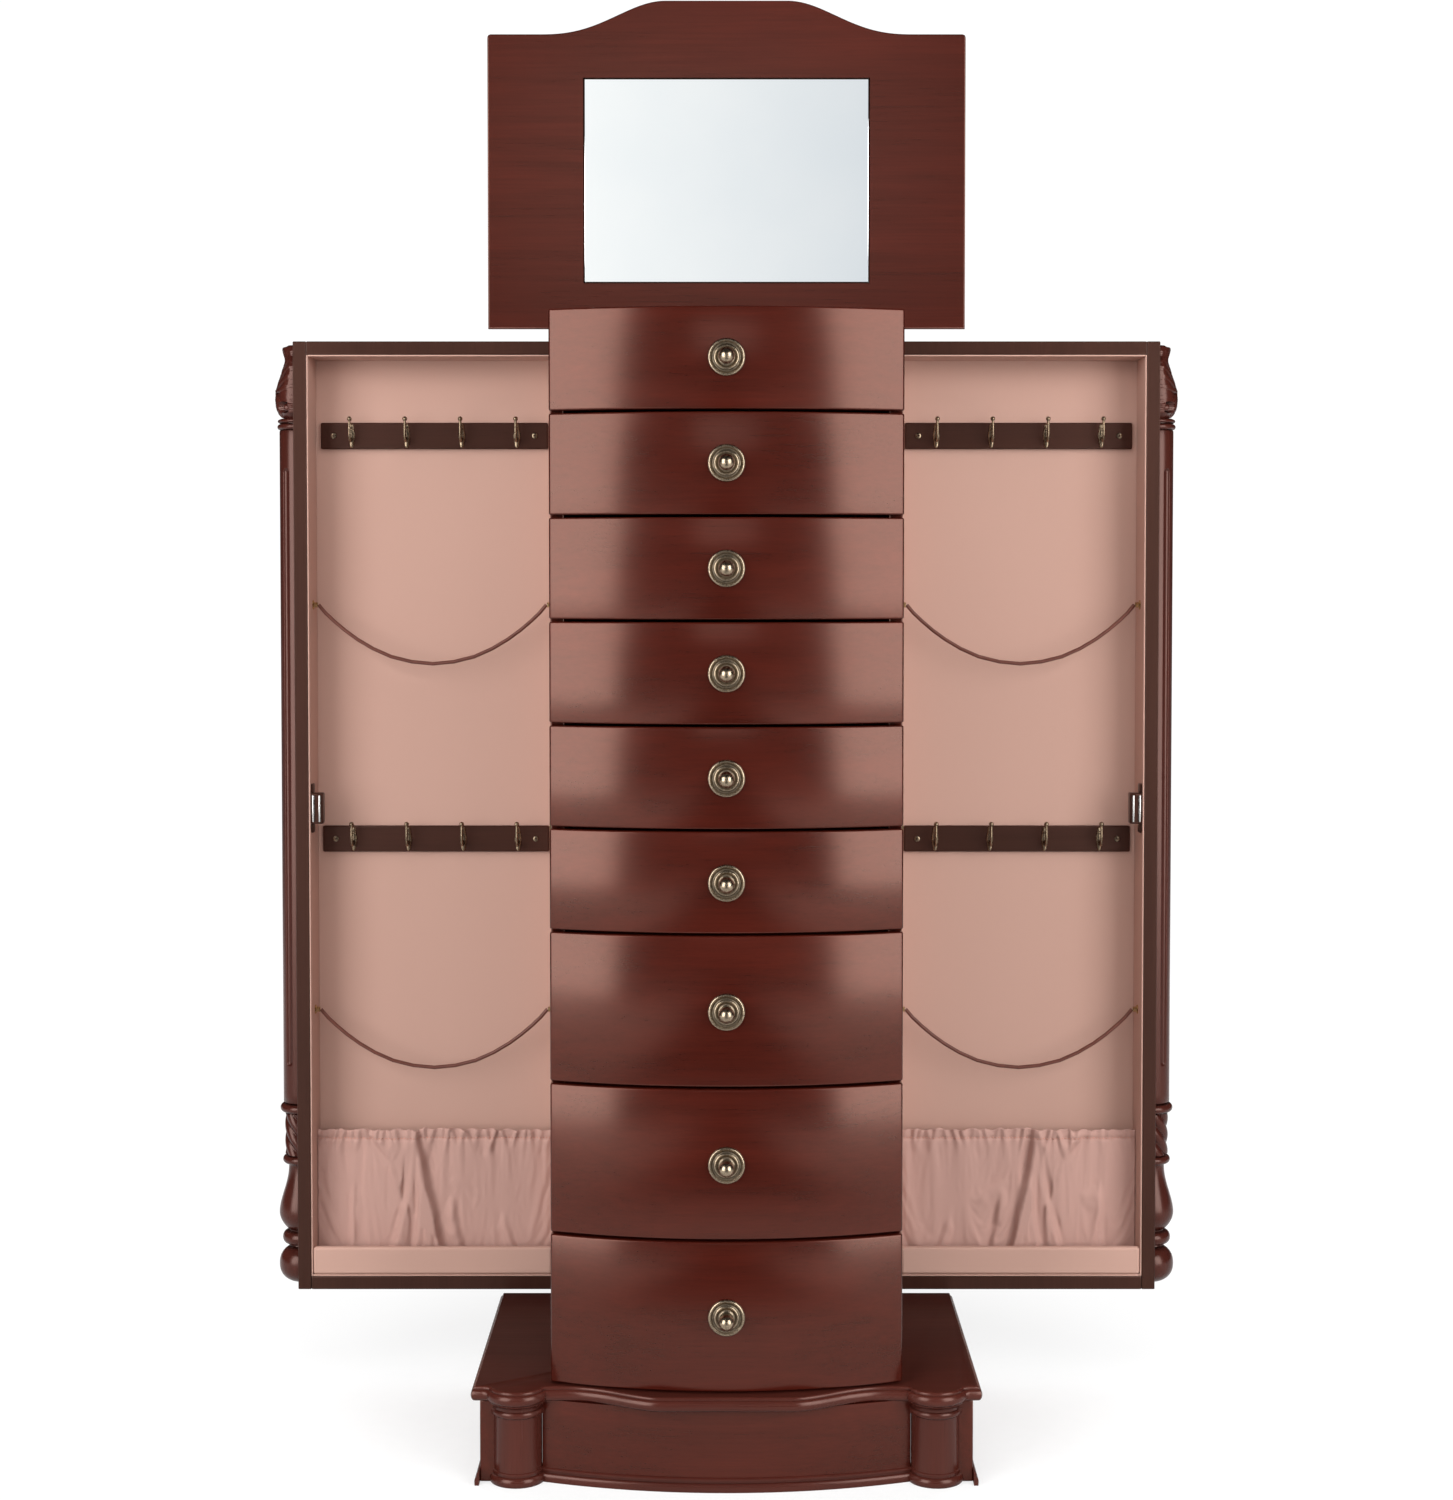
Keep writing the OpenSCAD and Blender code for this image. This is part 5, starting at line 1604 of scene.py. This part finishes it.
def fold_height(x, z, fold, width, tall):
    """How far one fold pushes the cloth forward at a point given in metres."""
    (s0, t0), (s1, t1), reach, drop = fold
    top, foot = Vector((s0 * width, t0 * tall)), Vector((s1 * width, t1 * tall))
    line = foot - top
    along = (Vector((x, z)) - top).dot(line) / line.length_squared
    if not -0.3 < along < 1.3:
        return 0.0
    away = (x - (top.x + line.x * along)) * (1 if drop > 0 else -1)
    ends = smooth_step((along + 0.3) / 0.5) * smooth_step((1.3 - along) / 0.4)
    step = 1 / (1 + math.exp(-away / 0.0011))
    ridge = step * math.exp(-max(away, 0) / reach)
    groove = 0.7 * (1 - step) * math.exp(min(away, 0) / (reach * 0.5))
    return abs(drop) * ends * (ridge - groove)


@operator
class ARMOIRE_OT_pouches(bpy.types.Operator):
    """Gathered satin pouches in the foot of each door"""

    bl_idname = "armoire.pouches"
    bl_label = "Pouches"

    def execute(self, context):
        fullness = context.scene.armoire_sizes.pouch_fullness
        for number, side in enumerate(SIDES):
            low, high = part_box(f"door_{side}_pouch")
            self.pouch(side, low, high, fullness, number)
        return {"FINISHED"}

    def pouch(self, side, low, high, fullness, number):
        width, tall = high.x - low.x, high.z - low.z
        stitch = tall - 0.0085
        pleats = self.pleats(width, number)
        mirror = -1 if side == "left" else 1
        bm = bmesh.new()
        uv = bm.loops.layers.uv.new("cloth")
        bmesh.ops.create_grid(bm, x_segments=CLOTH_ACROSS, y_segments=CLOTH_UP, size=0.5)
        for face in bm.faces:
            for loop in face.loops:
                loop[uv].uv = ((loop.vert.co.x + 0.5) * width * (1 + fullness),
                               (loop.vert.co.y + 0.5) * tall)
        for vert in bm.verts:
            s, t = vert.co.x, vert.co.y + 0.5
            x, z = s * width * mirror, t * tall
            fall = smooth_step((0.5 - abs(s)) / 0.06)
            out = sum(fold_height(x, z, fold, width, tall) for fold in POUCH_FOLDS) * fall
            out += 0.0022 * noise.noise(Vector((s * 7 + number * 5, t * 4, 0.3))) * fall
            out += 0.0007 * noise.noise(Vector((s * 30, t * 14, number + 2.0)))
            out += 0.0035 * math.sin(math.pi * min(1, t * 1.2)) * fall
            out += self.gathers(x, z, pleats, stitch)
            lift = 0.0026 * noise.noise(Vector((s * 34 + number, 3.1, 0.7))) if t > 0.955 else 0.0
            middle_y = high.y - 0.0042
            vert.co = ((low.x + high.x) / 2 + s * width, middle_y - out, low.z + z + lift)
        bmesh.ops.recalc_face_normals(bm, faces=bm.faces[:])
        mesh = bpy.data.meshes.new(f"pouch_{side}")
        bm.to_mesh(mesh)
        bm.free()
        mesh.materials.append(satin())
        mesh.shade_smooth()
        piece = bpy.data.objects.new(f"pouch_{side}", mesh)
        bpy.context.collection.objects.link(piece)
        self.settle(piece, low, high, stitch)
        for vert in mesh.vertices:
            vert.co.y = min(high.y - 0.0006, max(low.y - 0.006, vert.co.y))
        thick = piece.modifiers.new("thickness", "SOLIDIFY")
        thick.thickness = 0.0005
        thick.offset = 0.0
        thread = self.stitches(side, mesh, low, high, stitch, number)
        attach(piece, "door_" + side)
        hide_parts(f"door_{side}_pouch")

    def pleats(self, width, number):
        """Gathers under the hem as (across, reach, depth, fall, slant), the first four in metres."""
        rng = random.Random(41 + number)
        found, x = [], -width / 2 + 0.004
        while x < width / 2 - 0.004:
            found.append((x, rng.uniform(0.0014, 0.0028), rng.uniform(0.0016, 0.0042),
                          rng.uniform(0.007, 0.024), rng.uniform(-0.35, 0.35)))
            x += rng.uniform(0.0050, 0.0125)
        return found

    def gathers(self, x, z, pleats, stitch):
        """How far the gathers push the cloth forward at a point."""
        below = stitch - z
        out = 0.0
        for centre, reach, depth, fall, slant in pleats:
            away = x - centre - slant * below
            if abs(away) > 4 * reach:
                continue
            if below > 0:
                share = math.exp(-below / fall)
                wide = reach * (1 + 1.5 * below / 0.02)
            else:
                share = 1.0 - 0.25 * math.sin(math.pi * min(1.0, -below / 0.004))
                wide = reach
            out += depth * share * math.exp(-(away / wide) ** 2)
        tuck = 0.0016 * math.exp(-(below / 0.0011) ** 2)
        return out - tuck

    def settle(self, piece, low, high, stitch):
        """Lets the cloth slacken and buckle between its sewn edges."""
        held = piece.vertex_groups.new(name="held")
        for vert in piece.data.vertices:
            x, _, z = vert.co
            if min(x - low.x, high.x - x) < 0.0006 or z < low.z + 0.0006 or z - low.z > stitch - 0.004:
                held.add([vert.index], 1.0, "REPLACE")
        cloth = piece.modifiers.new("cloth", "CLOTH")
        settings = cloth.settings
        settings.quality = 5
        settings.mass = 0.10
        settings.tension_stiffness = settings.compression_stiffness = 15
        settings.shear_stiffness = 6
        settings.bending_stiffness = 1.5
        settings.vertex_group_mass = "held"
        settings.shrink_min = -0.002
        cloth.collision_settings.use_collision = False
        scene = bpy.context.scene
        for step in range(1, SETTLE_FRAMES + 1):
            scene.frame_set(step)
        evaluated = piece.evaluated_get(bpy.context.evaluated_depsgraph_get())
        settled = [vert.co.copy() for vert in evaluated.data.vertices]
        piece.modifiers.remove(cloth)
        for vert, place in zip(piece.data.vertices, settled):
            move = place - vert.co
            vert.co += move * min(1.0, SETTLE_REACH / max(move.length, 1e-9))
        piece.vertex_groups.clear()
        scene.frame_set(1)

    def stitches(self, side, mesh, low, high, stitch, number):
        """Short stitches of thread that hold the elastic under the hem."""
        row = sorted((vert.co.copy() for vert in mesh.vertices
                      if abs(vert.co.z - low.z - stitch) < (high.z - low.z) / CLOTH_UP * 0.6),
                     key=lambda co: co.x)
        rng = random.Random(7 + number)
        bm = bmesh.new()
        for start, end in zip(row[1:-2:2], row[2:-1:2]):
            push = Vector((0, -0.0008, rng.uniform(-0.0002, 0.0002)))
            centre = (start + end) / 2 + push
            line = end - start
            size = Vector((0.62 * line.length, 0.0005, 0.00055))
            turn = line.to_track_quat("X", "Z").to_matrix().to_4x4()
            place = Matrix.Translation(centre) @ turn @ Matrix.Diagonal((*size, 1))
            bmesh.ops.create_uvsphere(bm, u_segments=8, v_segments=6, radius=1.0, matrix=place)
        return make_piece(f"pouch_thread_{side}", bm, "door_" + side, [thread_finish()],
                          flat_area=0)


# ------------------------------------------------------------------ add-on


class ARMOIRE_PT_panel(bpy.types.Panel):
    """Lists the armoire's finishes, sizes and pieces"""

    bl_label = "Jewelry Armoire"
    bl_idname = "ARMOIRE_PT_panel"
    bl_space_type = "VIEW_3D"
    bl_region_type = "UI"
    bl_category = "Armoire"

    def draw(self, context):
        layout = self.layout
        for group in (context.scene.armoire_finishes, context.scene.armoire_sizes):
            for key in group.__annotations__:
                layout.prop(group, key)
        for cls in OPERATORS:
            layout.operator(cls.bl_idname)


CLASSES = [ArmoireFinishes, ArmoireSizes, *OPERATORS, ARMOIRE_PT_panel]


def register():
    for cls in CLASSES:
        bpy.utils.register_class(cls)
    bpy.types.Scene.armoire_finishes = PointerProperty(type=ArmoireFinishes)
    bpy.types.Scene.armoire_sizes = PointerProperty(type=ArmoireSizes)


def unregister():
    del bpy.types.Scene.armoire_sizes
    del bpy.types.Scene.armoire_finishes
    for cls in reversed(CLASSES):
        bpy.utils.unregister_class(cls)


def main():
    """Builds the whole armoire."""
    register()
    for cls in OPERATORS:
        area, name = cls.bl_idname.split(".")
        getattr(getattr(bpy.ops, area), name)()


if __name__ == "__main__":
    main()
